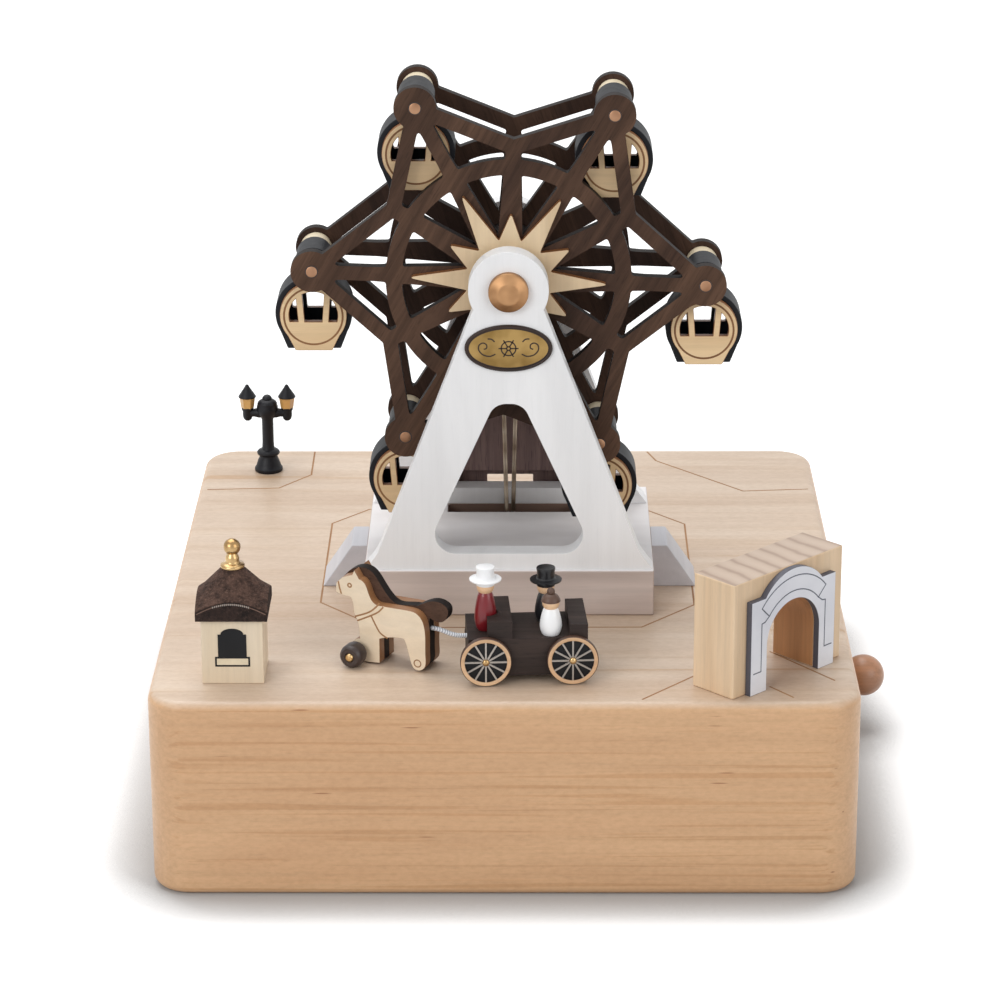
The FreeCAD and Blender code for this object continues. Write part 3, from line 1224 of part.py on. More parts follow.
def make_cart():
    """Walnut cart: a floor between two seat blocks, with a wheel on the outer end of each
    axle and a plain collar on the inner one."""
    tail = d.cart_lead - d.cart_long
    low = box("cart_floor_block", d.cart_long, 2 * d.cart_half, d.cart_floor - d.cart_low, tail,
              -d.cart_half, d.cart_low)
    front = box("cart_front_seat", d.seat_front_deep, 2 * d.cart_half,
                d.seat_front_tall - d.cart_low, d.seat_front_at - d.seat_front_deep,
                -d.cart_half, d.cart_low)
    rear = box("cart_rear_seat", d.seat_rear_deep, 2 * d.cart_half,
               d.seat_rear_tall - d.cart_low, tail, -d.cart_half, d.cart_low)
    wood = fuse("cart_wood", [low, front, rear])
    recess = cylinder("coachman_recess", d.peg_radius + d.end_gap, d.seat_front_tall,
                      d.coachman_ahead, d.coachman_out, d.cart_floor)
    cuts = [recess]
    for part, x in (("front", d.cart_axle_at), ("rear", -d.cart_axle_at)):
        cuts.append(cylinder(f"cart_{part}_bore", d.wheel_pin + d.running_gap,
                             4 * d.cart_half, x, -2 * d.cart_half, d.cart_wheel, ALONG_Y))
    cuts.append(cylinder("cart_link_hole", d.link_radius, 2 * d.link_seat,
                         d.cart_lead - d.link_seat, 0, d.link_low, ALONG_X))
    train_place(cut("cart_body", wood, fuse("cart_cuts", cuts)), d.cart_turn)

    for part, x in (("front", d.cart_axle_at), ("rear", -d.cart_axle_at)):
        reach = d.cart_half + d.cart_wheel_gap
        pin_end = reach + d.cart_wheel_thick + d.wheel_pin_end
        pin = cylinder(f"cart_{part}_pin", d.wheel_pin, 2 * pin_end, x, -pin_end, d.cart_wheel,
                       ALONG_Y)
        pieces = [pin]
        for way, radius, start in (("outer", d.cart_wheel, reach),
                                   ("inner", d.cart_collar, -reach - d.cart_wheel_thick)):
            rim = cylinder(f"cart_{part}_{way}_disc", radius, d.cart_wheel_thick, x, start,
                           d.cart_wheel, ALONG_Y)
            hole = cylinder(f"cart_{part}_{way}_hole", d.wheel_pin, d.cart_wheel_thick, x,
                            start, d.cart_wheel, ALONG_Y)
            pieces.append(cut(f"cart_{part}_{way}_wheel", rim, hole))
        train_place(group(f"cart_{part}_wheels", pieces), d.cart_turn)


def peg(name, x, y, neck, hat):
    """A turned peg figure standing on the cart floor, with a round hat or a hair knot."""
    z = d.cart_floor
    hem = neck / 3
    chin = d.peg_head / 2
    top = z + neck + d.peg_head + chin / 2
    parts = [cone(name + "_skirt", d.peg_radius - chin / 2, d.peg_radius, hem, x, y, z),
             cone(name + "_coat", d.peg_radius, d.peg_head, neck - hem, x, y, z + hem),
             ball(name + "_head", d.peg_head, x, y, z + neck + chin)]
    if hat:
        parts.append(cylinder(name + "_brim", d.brim_radius, d.brim_thick, x, y, top))
        parts.append(cylinder(name + "_crown", d.crown_radius, d.crown_tall, x, y, top))
    else:
        parts.append(ball(name + "_knot", chin, x, y, top + chin))
    return fuse(name, parts)


def make_figures():
    """Coachman in his recess; a gentleman and a lady side by side behind him."""
    coachman = peg("coachman", d.coachman_ahead, d.coachman_out, d.coachman_neck, True)
    train_place(coachman, d.cart_turn)
    pair = [peg("gentleman", -d.gentleman_behind, -d.gentleman_in, d.gentleman_neck, True),
            peg("lady", -d.lady_behind, d.lady_out, d.lady_neck, False)]
    train_place(group("passengers", pair), d.cart_turn)


def train_point(turn, x, y, z):
    """A point of the train's own frame in the toy's frame."""
    angle = math.radians(-90.0 - turn)
    centre_x = d.tower_shift + d.track_radius * math.cos(math.radians(-turn))
    centre_y = d.track_radius * math.sin(math.radians(-turn))
    return FreeCAD.Vector(centre_x + x * math.cos(angle) - y * math.sin(angle),
                          centre_y + x * math.sin(angle) + y * math.cos(angle),
                          float(deck + d.track_gap) + z)


def make_link():
    """Bent wire that tows the cart: straight into each end, with one easy bend between."""
    seat = float(d.link_seat)
    bare = float(d.link_bare)
    horse_end = HORSE_BACK * float(d.horse_tall)
    cart_end = float(d.cart_lead)
    high = float(d.link_height)
    low = float(d.link_low)
    start = train_point(d.horse_turn, horse_end + seat, 0, high)
    leave = train_point(d.horse_turn, horse_end - bare, 0, high)
    arrive = train_point(d.cart_turn, cart_end + bare, 0, low)
    end = train_point(d.cart_turn, cart_end - seat, 0, low)
    bend = Part.BSplineCurve()
    bend.interpolate(Points=[leave, arrive], InitialTangent=leave - start,
                     FinalTangent=end - arrive)
    route = [Part.LineSegment(start, leave).toShape(), bend.toShape(),
             Part.LineSegment(arrive, end).toShape()]
    shape_part("tow_link", round_cord(route, float(d.link_radius)))


# ---------------------------------------------------------------- park buildings
# From a square's side to half its diagonal, a hair over so that its corners stay whole.
HALF_DIAGONAL = 0.7072


def make_booth():
    """Ticket booth with a swept square roof and a turned brass finial."""
    x = d.booth_side - d.case_width / 2
    y = d.booth_front - d.case_depth / 2
    box("booth_body", d.booth_width, d.booth_width, d.booth_tall, x - d.booth_width / 2,
        y - d.booth_width / 2, deck)
    eaves = deck + d.booth_tall
    corner = d.roof_width * HALF_DIAGONAL
    middle = (corner + d.roof_neck) / 2
    spun = turned("roof_turning", [(0.0, 0.0), (corner, 0.0), (corner, d.roof_corner),
                                   (middle, d.roof_bend), (d.roof_neck, d.roof_tall),
                                   (0.0, d.roof_tall)], x, y, eaves)
    square = box("roof_square", d.roof_width, d.roof_width, d.roof_tall,
                 x - d.roof_width / 2, y - d.roof_width / 2, eaves)
    common("booth_roof", [spun, square])
    top = eaves + d.roof_tall
    ring = cylinder("finial_base", d.finial_ring, d.finial_ring / 2, x, y, top)
    stem = cylinder("finial_stem", d.finial_ring / 2, d.finial_rise, x, y, top)
    knob = ball("finial_knob", d.finial_ball, x, y, top + d.finial_rise)
    fuse("booth_finial", [ring, stem, knob])


def make_lamp():
    """Black two-armed lamp post, its amber lanterns and their black caps."""
    x = d.lamp_side - d.case_width / 2
    y = d.case_depth / 2 - d.lamp_back
    head_z = deck + d.lamp_tall
    pieces = [cylinder("lamp_foot_disc", d.lamp_base, d.lamp_foot, x, y, deck),
              cone("lamp_bell_cone", d.lamp_bell, d.lamp_pole, d.lamp_bell_tall, x, y, deck),
              cylinder("lamp_ring_disc", d.lamp_ring, d.lamp_ring_tall, x, y,
                       deck + d.lamp_bell_tall),
              cylinder("lamp_pole_rod", d.lamp_pole, d.lamp_tall, x, y, deck),
              ball("lamp_head_ball", d.lamp_head, x, y, head_z),
              cone("lamp_spike_cone", d.lamp_pole, d.lamp_tip, d.lamp_spike, x, y, head_z)]
    arm_z = head_z - d.lamp_pole / 2
    pieces.append(cylinder("lamp_crossbar", d.lamp_bar, 2 * d.lamp_arm, x - d.lamp_arm, y,
                           arm_z, ALONG_X))
    lantern_z = arm_z + d.lamp_seat
    caps = []
    lanterns = []
    for side, way in ((-1, "left"), (1, "right")):
        place_x = x + side * d.lamp_arm
        pieces.append(cone(f"lamp_{way}_cup", d.lamp_cup_foot, d.lamp_pole, d.lamp_cup,
                           place_x, y, lantern_z - d.lamp_cup))
        caps.append(cone(f"lamp_{way}_cap", d.lantern_cap, d.lamp_tip, d.lantern_cap_tall,
                         place_x, y, lantern_z + d.lantern_tall))
        lanterns.append(cone(f"lamp_{way}_lantern", d.lantern_foot, d.lantern_radius,
                             d.lantern_tall, place_x, y, lantern_z))
    group("lamp_post", [fuse("lamp_stand", pieces)] + caps)
    group("lamp_lanterns", lanterns)


def make_gate():
    """Entrance gate: a turned block with a tunnel, and an arch facing on its outer side."""
    deep = d.gate_deep
    block = box("gate_solid", d.gate_long, deep, d.gate_tall, -d.gate_long / 2, -deep / 2, 0)

    def tunnel(name, start, length):
        straight = box(name + "_straight", 2 * d.arch_radius, length, d.arch_spring,
                       -d.arch_radius, start, 0)
        arch = cylinder(name + "_arch", d.arch_radius, length, 0, start, d.arch_spring, ALONG_Y)
        return fuse(name, [straight, arch])
    wood = cut("gate_block", block, tunnel("gate_tunnel", -deep, 2 * deep))
    face = -deep / 2 - d.facing_thick
    flat = box("facing_flat", d.facing_wide, d.facing_thick, d.facing_shoulder,
               -d.facing_wide / 2, face, 0)
    bow = cylinder("facing_bow", d.facing_arc, d.facing_thick, 0, face,
                   d.facing_tall - d.facing_arc, ALONG_Y)
    facing = cut("gate_arch_facing", fuse("facing_blank", [flat, bow]),
                 tunnel("facing_tunnel", face * 2, 4 * d.facing_thick + deep))
    for part in (wood, facing):
        place_turned(part, d.case_width / 2 - d.gate_side, d.gate_front - d.case_depth / 2,
                     deck, d.gate_turn)


make_case()
make_cover()
make_platform()
make_frame("front_a_frame", frame_back)
make_frame("rear_a_frame", rear_frame_back)
make_back_panel()
make_plaque()
make_axle_caps()
make_wheel_plate("front_wheel_plate", plate_back)
make_wheel_plate("rear_wheel_plate", rear_plate_back)
make_star()
make_wheel_middle()
make_pins()
for number in GONDOLAS:
    make_gondola(number)
make_crank()
make_crank_pulley()
make_belt()
make_bracket()
make_turntable()
make_pinion()
make_movement()
make_horse()
make_cart()
make_figures()
make_link()
make_booth()
make_lamp()
make_gate()

# ---------------------------------------------------------------- check and export
NODES = [
    "base_case", "bottom_cover", "cover_screws", "platform_block", "boarding_ramps",
    "front_a_frame", "rear_a_frame", "back_panel", "name_plaque", "axle_caps",
    "front_wheel_plate", "rear_wheel_plate", "wheel_star", "wheel_axle", "wheel_hub",
    "wheel_pulley", "tip_pins", "tip_spacers", "crank_shaft", "crank_arm", "crank_knob",
    "crank_bushing", "crank_pulley", "crank_pinion", "drive_belt", "shaft_bracket",
    "turntable_collar", "magnet_turntable", "drive_magnets", "music_cylinder",
    "movement_bedplate", "movement_comb", "horse_sides", "horse_core", "horse_wheels",
    "cart_body", "cart_front_wheels", "cart_rear_wheels", "coachman", "passengers",
    "tow_link", "booth_body", "booth_roof", "booth_finial", "lamp_post", "lamp_lanterns",
    "gate_block", "gate_arch_facing",
]
NODES += [f"gondola_{number}_{piece}" for number in GONDOLAS for piece in ("shell", "faces")]

doc.recompute()
for item in doc.Objects:
    if "Invalid" in item.State or "Error" in item.State:
        raise RuntimeError(f"{item.Label} did not build: {item.State}")
shapes = {}
for node in NODES:
    found = doc.getObjectsByLabel(node)
    if len(found) != 1:
        raise RuntimeError(f"{node}: {len(found)} objects have this label")
    shapes[node] = found[0].Shape
    if shapes[node].isNull() or not shapes[node].isValid():
        raise RuntimeError(f"{node} has no valid shape")
os.makedirs("parts", exist_ok=True)
for node, shape in shapes.items():
    shape.exportStep(f"parts/{node}.step")
    print(f"{node}: {len(shape.Solids)} solids, {shape.Volume:.1f} cubic mm")
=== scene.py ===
import json
import math

import bmesh
import bpy
from mathutils import Matrix, Vector
from mathutils.geometry import tessellate_polygon


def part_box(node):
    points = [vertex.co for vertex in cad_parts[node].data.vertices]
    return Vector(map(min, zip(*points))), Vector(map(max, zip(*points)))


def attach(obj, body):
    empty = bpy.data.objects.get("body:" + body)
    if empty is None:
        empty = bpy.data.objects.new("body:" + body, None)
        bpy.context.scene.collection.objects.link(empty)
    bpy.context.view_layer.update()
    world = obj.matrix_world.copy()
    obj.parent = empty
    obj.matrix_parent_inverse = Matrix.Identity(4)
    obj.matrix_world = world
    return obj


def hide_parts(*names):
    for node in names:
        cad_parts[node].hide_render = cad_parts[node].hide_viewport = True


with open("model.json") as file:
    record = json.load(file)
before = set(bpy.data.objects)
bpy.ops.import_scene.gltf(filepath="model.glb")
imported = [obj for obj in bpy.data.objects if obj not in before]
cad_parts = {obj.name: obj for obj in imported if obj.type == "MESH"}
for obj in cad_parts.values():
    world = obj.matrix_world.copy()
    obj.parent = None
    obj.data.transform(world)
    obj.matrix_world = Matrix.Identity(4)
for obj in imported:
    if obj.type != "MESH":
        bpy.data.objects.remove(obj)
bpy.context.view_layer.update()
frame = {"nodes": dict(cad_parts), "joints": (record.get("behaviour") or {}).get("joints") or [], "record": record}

MM = 0.001
NODES = frame["nodes"]
BODY_OF = {
    node: body
    for body, nodes in frame["record"]["behaviour"]["bodies"].items()
    for node in nodes
}
GONDOLAS = range(1, 7)
FINISH = {}


# ------------------------------------------------------------------ node trees
class Wiring:
    """Short ways to add nodes to a tree and to join them up."""

    def __init__(self, tree):
        self.tree = tree

    def add(self, kind, values=None, **settings):
        node = self.tree.nodes.new(kind)
        for key, value in settings.items():
            setattr(node, key, value)
        for socket, value in (values or {}).items():
            self.put(node.inputs[socket], value)
        return node

    def put(self, socket, value):
        if isinstance(value, bpy.types.NodeSocket):
            self.tree.links.new(value, socket)
        else:
            socket.default_value = value

    def math(self, kind, first, second=0.0, clamp=False):
        node = self.add("ShaderNodeMath", {0: first, 1: second}, operation=kind, use_clamp=clamp)
        return node.outputs["Value"]

    def spread(self, value, low, high, to_low=0.0, to_high=1.0):
        """A value between low and high, drawn out between two others."""
        node = self.add("ShaderNodeMapRange", {
            "Value": value, "From Min": low, "From Max": high, "To Min": to_low,
            "To Max": to_high})
        return node.outputs["Result"]

    def split(self, vector):
        return self.add("ShaderNodeSeparateXYZ", {"Vector": vector}).outputs

    def seen_directly(self):
        """1 for what is looked at, straight or by way of a shiny or clear surface."""
        ray = self.add("ShaderNodeLightPath").outputs
        shiny = self.math("ADD", ray["Is Camera Ray"], ray["Is Glossy Ray"], clamp=True)
        return self.math("ADD", shiny, ray["Is Transmission Ray"], clamp=True)


class Finish(Wiring):
    """A finish in the making: its material, its shader and short ways to pattern it."""

    def __init__(self, name, rough=0.5, metal=0.0, coat=0.0, gleam=0.5):
        FINISH[name] = bpy.data.materials.new(name)
        FINISH[name].use_nodes = True
        super().__init__(FINISH[name].node_tree)
        self.shader = self.tree.nodes["Principled BSDF"].inputs
        for socket, value in (("Roughness", rough), ("Metallic", metal), ("Coat Weight", coat),
                              ("Coat Roughness", 0.15), ("Specular IOR Level", gleam)):
            self.shader[socket].default_value = value
        self.spot = self.add("ShaderNodeTexCoord").outputs
        self.place = self.spot["Object"]

    def wrap_round(self):
        """Turns the grain on the two ends, so that it runs level all round a case."""
        here = self.split(self.place)
        turned = self.add("ShaderNodeCombineXYZ", {
            "X": here["Y"], "Y": here["X"], "Z": here["Z"]})
        across = self.math("ABSOLUTE", self.split(self.spot["Normal"])["X"])
        choice = self.add("ShaderNodeMix", data_type="VECTOR")
        self.put(choice.inputs[0], self.math("GREATER_THAN", across, 0.707))
        self.put(choice.inputs[4], self.place)
        self.put(choice.inputs[5], turned.outputs["Vector"])
        self.place = choice.outputs[1]

    def stretched(self, cells, turn=(0.0, 0.0, 0.0)):
        """The place on the piece, in cells per metre for all axes or for each."""
        each = cells if hasattr(cells, "__len__") else (cells,) * 3
        node = self.add("ShaderNodeMapping", {
            "Vector": self.place, "Scale": [1 / part for part in each], "Rotation": turn},
            vector_type="TEXTURE")
        return node.outputs["Vector"]

    def noise(self, cells, detail=3.0, rough=0.55, twist=0.0, turn=(0.0, 0.0, 0.0)):
        node = self.add("ShaderNodeTexNoise", {
            "Vector": self.stretched(cells, turn), "Scale": 1.0, "Detail": detail,
            "Roughness": rough, "Distortion": twist})
        return node.outputs["Fac"]

    def ramp(self, amount, *stops):
        """Colours, or plain shades of grey, at their places along an amount."""
        node = self.add("ShaderNodeValToRGB", {"Fac": amount})
        bar = node.color_ramp.elements
        while len(bar) < len(stops):
            bar.new(1.0)
        for element, (place, colour) in zip(bar, stops):
            element.position = place
            element.color = colour if hasattr(colour, "__len__") else (colour,) * 3 + (1.0,)
        return node.outputs["Color"]

    def blend(self, amount, first, second, kind="MIX"):
        node = self.add("ShaderNodeMix", data_type="RGBA", blend_type=kind)
        for socket, value in ((0, amount), (6, first), (7, second)):
            self.put(node.inputs[socket], value)
        return node.outputs[2]

    def shade(self, colour, shadow):
        return self.blend(1.0, colour, shadow, "MULTIPLY")

    def facing(self, direction, low=0.55, high=0.85):
        """1 where the surface faces along a direction or straight away from it."""
        dot = self.add("ShaderNodeVectorMath", {
            0: self.spot["Normal"], 1: Vector(direction).normalized()}, operation="DOT_PRODUCT")
        return self.spread(self.math("ABSOLUTE", dot.outputs["Value"]), low, high)

    def upward(self, low, high):
        """1 on surfaces that face up, 0 on the sides."""
        return self.spread(self.split(self.spot["Normal"])["Z"], low, high)

    def bump(self, height, depth, strength):
        node = self.add("ShaderNodeBump", {
            "Height": height, "Distance": depth * MM, "Strength": strength})
        self.put(self.shader["Normal"], node.outputs["Normal"])

    def roughness(self, amount, low, high):
        self.put(self.shader["Roughness"], self.spread(amount, 0.0, 1.0, low, high))

    def colour(self, value):
        self.result = value
        self.put(self.shader["Base Color"], value)
        return self


# ------------------------------------------------------------------ finishes
def tone(red, green, blue):
    """A paint-chart colour, 0 to 255 a channel, as the renderer's own numbers."""
    def straight(value):
        part = value / 255
        return part / 12.92 if part <= 0.04045 else ((part + 0.055) / 1.055) ** 2.4
    return (straight(red), straight(green), straight(blue), 1.0)


ALONG = {
    "x": lambda run, cross: (run, cross, cross),
    "y": lambda run, cross: (cross, run, cross),
    "z": lambda run, cross: (cross, cross, run),
}


def wood(name, grain, dark, light, lines=0.35, pores=0.0, rough=0.42, figure=1.0, lean=0.0,
         coat=0.12, gleam=0.5, wrapped=False):
    """Lacquered timber: broad figure, fine lines and short pores, all along the grain."""
    made = Finish(name, rough, coat=coat, gleam=gleam)
    if wrapped:
        made.wrap_round()
    run = ALONG[grain]
    turn = (0.0, math.radians(lean), 0.0)
    broad = made.noise(run(9 * figure, 70 * figure), 3.0, 0.5, 0.7, turn)
    fine = made.noise(run(14, 520), 5.0, 0.6, 0.25, turn)
    short = made.noise(run(220, 2600), 2.0, 0.5, 0.0, turn)
    base = made.ramp(broad, (0.30, tone(*dark)), (0.68, tone(*light)))
    drawn = made.ramp(fine, (0.30, 1.0 - lines), (0.62, 1.0))
    speck = made.ramp(short, (0.30, 1.0 - pores), (0.44, 1.0))
    made.roughness(fine, rough + 0.08, rough - 0.05)
    made.bump(made.math("ADD", made.math("MULTIPLY", fine, 0.6), short), 0.02, 0.5)
    return made.colour(made.shade(made.shade(base, drawn), speck))


def edges_scorched_and_shaded(made, face, edge_tone, low=0.55, high=0.85):
    """Colours every surface that doesn't face along the sheet's own direction: laser scorch on cut timber, painted
    shade on the gate's painted facing.
    """
    made.colour(made.blend(made.facing(face, low, high), tone(*edge_tone), made.result))


def flecks(made, long, wide, reach, share):
    """1 inside rare short marks along X: their spacing in mm, their reach in it, their share."""
    cells = made.add("ShaderNodeTexVoronoi", {
        "Vector": made.stretched((1000 / long, 1000 / wide, 1000 / wide)), "Scale": 1.0})
    near = made.ramp(cells.outputs["Distance"], (reach * 0.4, 1.0), (reach, 0.0))
    chance = made.add("ShaderNodeSeparateColor", {"Color": cells.outputs["Color"]})
    return made.math("MULTIPLY", near, made.math("LESS_THAN", chance.outputs["Red"], share))


def case_maple():
    """Maple case: long wavy grain and a few short brown flecks; its top painted paler and less warm as painted
    light, its sides darker and warmer as painted shade.
    """
    made = wood("case_maple", "x", (210, 166, 125), (221, 179, 137), 0.08, 0.06, 0.45, 0.8,
                wrapped=True)
    warm = (0.90, 0.84, 0.77, 1.0)
    clear = (1.0, 1.0, 1.0, 1.0)
    vein = made.noise((7, 520, 520), 2.0, 0.5, 0.6)
    veins = made.ramp(vein, (0.34, warm), (0.40, 1.0), (0.60, 1.0), (0.66, warm))
    square = made.math("MAXIMUM", made.facing((1, 0, 0), 0.85, 0.97),
                       made.facing((0, 1, 0), 0.85, 0.97))
    grainy = made.ramp(made.noise((500, 1100, 1100), 3.0, 0.7),
                       (0.30, (0.90, 0.88, 0.85, 1.0)), (0.62, 1.0))
    side = made.shade(made.shade(made.result, made.blend(square, clear, veins)), grainy)
    # the top's tones, paler and less warm than the sides: painted light
    lit_top_tone = made.ramp(made.noise((5, 52, 52), 4.0, 0.55, 1.2),
                     (0.32, tone(198, 173, 150)), (0.64, tone(214, 194, 174)))
    streaks = made.ramp(made.noise((4, 150, 150), 3.0, 0.55, 0.7),
                        (0.32, (0.84, 0.70, 0.55, 1.0)), (0.37, (0.94, 0.90, 0.85, 1.0)),
                        (0.50, 1.0))
    # top faces take the painted-light tones, the sides the darker, warmer painted-shade ones
    level = made.upward(0.35, 0.9)
    ground = made.blend(level, side, made.shade(made.shade(lit_top_tone, streaks), grainy))
    mark = made.math("MULTIPLY", flecks(made, 26.0, 2.4, 0.11, 0.35),
                     made.math("SUBTRACT", 0.8, level, clamp=True))
    made.colour(made.blend(mark, ground, tone(150, 98, 60)))


def painted(name, light, dark, rough=0.35, grainy=0.4, coat=0.2, gleam=0.5):
    """Brushed paint over timber: faint clouds, a little orange peel and softened gloss."""
    made = Finish(name, rough, coat=coat, gleam=gleam)
    cloud = made.noise(45)
    peel = made.noise(900, 2.0, 0.5)
    brushed = made.noise((360, 360, 120), 3.0, 0.6)
    made.roughness(brushed, rough + 0.12, max(rough - 0.08, 0.05))
    made.bump(made.math("ADD", peel, brushed), 0.03 * grainy, 0.45)
    return made.colour(made.ramp(cloud, (0.35, tone(*dark)), (0.65, tone(*light))))


def metal(name, light, dark, rough=0.28, stretch=(60, 60, 900)):
    """Turned or drawn metal with fine tool lines and slightly dulled patches."""
    made = Finish(name, rough, 1.0)
    lines = made.noise(stretch, 3.0, 0.6)
    patch = made.noise(160, 2.0, 0.5)
    made.roughness(lines, rough + 0.12, max(rough - 0.08, 0.05))
    made.bump(lines, 0.006, 0.35)
    made.colour(made.ramp(patch, (0.35, tone(*dark)), (0.65, tone(*light))))


def whitewash():
    """Whitewashed block: white above; its sides darker and pinker, partly the timber showing faintly through,
    partly painted shade.
    """
    # sides: timber tones through the wash, darkened further as painted shade
    made = wood("whitewashed_block", "x", (188, 170, 162), (214, 200, 193), 0.12, 0.04, 0.5,
                wrapped=True)
    above = made.ramp(made.noise((30, 60, 60), 3.0, 0.5),
                      (0.35, tone(222, 217, 216)), (0.65, tone(238, 235, 235)))
    made.colour(made.blend(made.upward(0.5, 0.9), made.result, above))


def bark(name, deep, shallow, grain):
    """Rough cork bark: dark reddish crumbs with paler brown grains."""
    made = Finish(name, 0.9, gleam=0.25)
    crumb = made.add("ShaderNodeTexVoronoi", {
        "Vector": made.stretched(1000), "Scale": 1.3, "Randomness": 1.0})
    speckle = made.noise(1700, 3.0, 0.65)
    ground = made.ramp(made.noise(420, 5.0, 0.7), (0.34, tone(*deep)), (0.66, tone(*shallow)))
    grains = made.ramp(speckle, (0.55, 0.0), (0.70, 0.45))
    made.bump(made.math("ADD", crumb.outputs["Distance"], speckle), 0.4, 0.85)
    made.colour(made.blend(grains, ground, tone(*grain)))


def gate_timber():
    """Pale gate timber: upright grain at the sides, faint year rings across the top."""
    made = wood("gate_timber", "z", (222, 188, 149), (236, 208, 174), 0.14, 0.05, 0.5)
    rings = made.add("ShaderNodeTexWave", {
        "Vector": made.stretched(1, (0.0, 0.0, math.radians(40.0))), "Scale": 56.0,
        "Distortion": 2.2, "Detail": 3.0, "Detail Scale": 1.4}, bands_direction="X")
    end = made.ramp(rings.outputs["Fac"], (0.0, tone(166, 143, 126)), (0.12, tone(180, 157, 139)),
                    (0.34, tone(190, 168, 149)), (1.0, tone(196, 175, 157)))
    made.colour(made.blend(made.upward(0.6, 0.9), made.result, end))


def spun_cord(name, light, dark):
    """Fine twisted thread, seen as slanting strands."""
    made = Finish(name, 0.45)
    slant = made.add("ShaderNodeTexWave", {
        "Vector": made.stretched(1, (0.6, 0.3, 0.4)), "Scale": 620.0, "Distortion": 1.2,
        "Detail": 1.0})
    made.bump(slant.outputs["Fac"], 0.12, 0.6)
    made.colour(made.ramp(slant.outputs["Fac"], (0.2, tone(*dark)), (0.8, tone(*light))))


HORSE_TURN = 114.0
CART_TURN = 86.4


def outward(turn):
    """The way out from the track's centre at an angle clockwise from the right."""
    angle = math.radians(-turn)
    return Vector((math.cos(angle), math.sin(angle), 0.0))


GATE_OUT = Vector((1.0, -1.0, 0.0)).normalized()
SHEET = (0, 1, 0)
SCORCH = (136, 88, 50)
TOASTED = (146, 102, 66)
BURNT = (26, 19, 17)


def timbers():
    """Bare and lacquered timbers, each as its name, grain, dark tone, light tone and figure."""
    case_maple()
    gate_timber()
    whitewash()
    wood("spacer_maple", "y", (214, 196, 164), (238, 224, 196), 0.12, 0.03)
    wood("plain_maple", "z", (221, 202, 174), (234, 218, 194), 0.10, 0.03)
    wood("knob_wood", "x", (160, 112, 80), (204, 150, 114), 0.26, 0.12, 0.38)
    wood("tunnel_wood", "z", (178, 124, 80), (216, 162, 112), 0.22, 0.05, 0.45)
    # bare timber inside the slot, darkened as painted shade in the recess
    wood("slot_wood_painted_shade", "x", (120, 96, 84), (150, 122, 106), 0.2, 0.05, 0.6, coat=0.0)
    wood("cover_board", "y", (176, 140, 100), (200, 164, 122), 0.2, 0.1)
    # the ramps' white paint made grey: painted shade
    wood("ramp_whitewash_painted_shade", "y", (190, 189, 194), (206, 205, 210), 0.05, 0.03, 0.5)
    wood("whitewashed_frame", "z", (234, 234, 235), (245, 245, 246), 0.03, 0.02, 0.42)
    wood("panel_walnut", "z", (105, 84, 80), (142, 118, 114), 0.36, 0.30, 0.58, coat=0.0,
         gleam=0.3)
    wood("cart_walnut", "x", (34, 26, 24), (62, 49, 44), 0.42, 0.35, 0.55, coat=0.0, gleam=0.25)
    edges_scorched_and_shaded(wood("gondola_maple", "x", (214, 180, 136), (234, 204, 160), 0.12, 0.04),
              SHEET, SCORCH, 0.90, 0.99)
    edges_scorched_and_shaded(wood("star_maple", "z", (209, 181, 144), (224, 199, 163), 0.10, 0.03),
              SHEET, SCORCH, 0.90, 0.99)
    edges_scorched_and_shaded(wood("horse_maple", "x", (230, 209, 180), (242, 226, 202), 0.08, 0.03),
              outward(HORSE_TURN), TOASTED, 0.80, 0.98)
    edges_scorched_and_shaded(wood("rim_wood", "x", (204, 160, 120), (226, 188, 148), 0.16, 0.05),
              outward(CART_TURN), (70, 46, 34), 0.7, 0.95)
    for name, grain, dark, light, lines, lean, face in (
            ("wheel_walnut", "z", (58, 41, 33), (98, 73, 58), 0.46, 30.0, SHEET),
            # rear plate: the front plate's walnut darkened as painted shade
            ("rear_walnut_painted_shade", "z", (50, 35, 29), (82, 60, 48), 0.42, -20.0, SHEET),
            ("core_walnut", "x", (66, 47, 39), (98, 73, 59), 0.35, 0.0, outward(HORSE_TURN))):
        edges_scorched_and_shaded(wood(name, grain, dark, light, lines, 0.30, 0.58, lean=lean, coat=0.0,
                       gleam=0.15), face, BURNT)


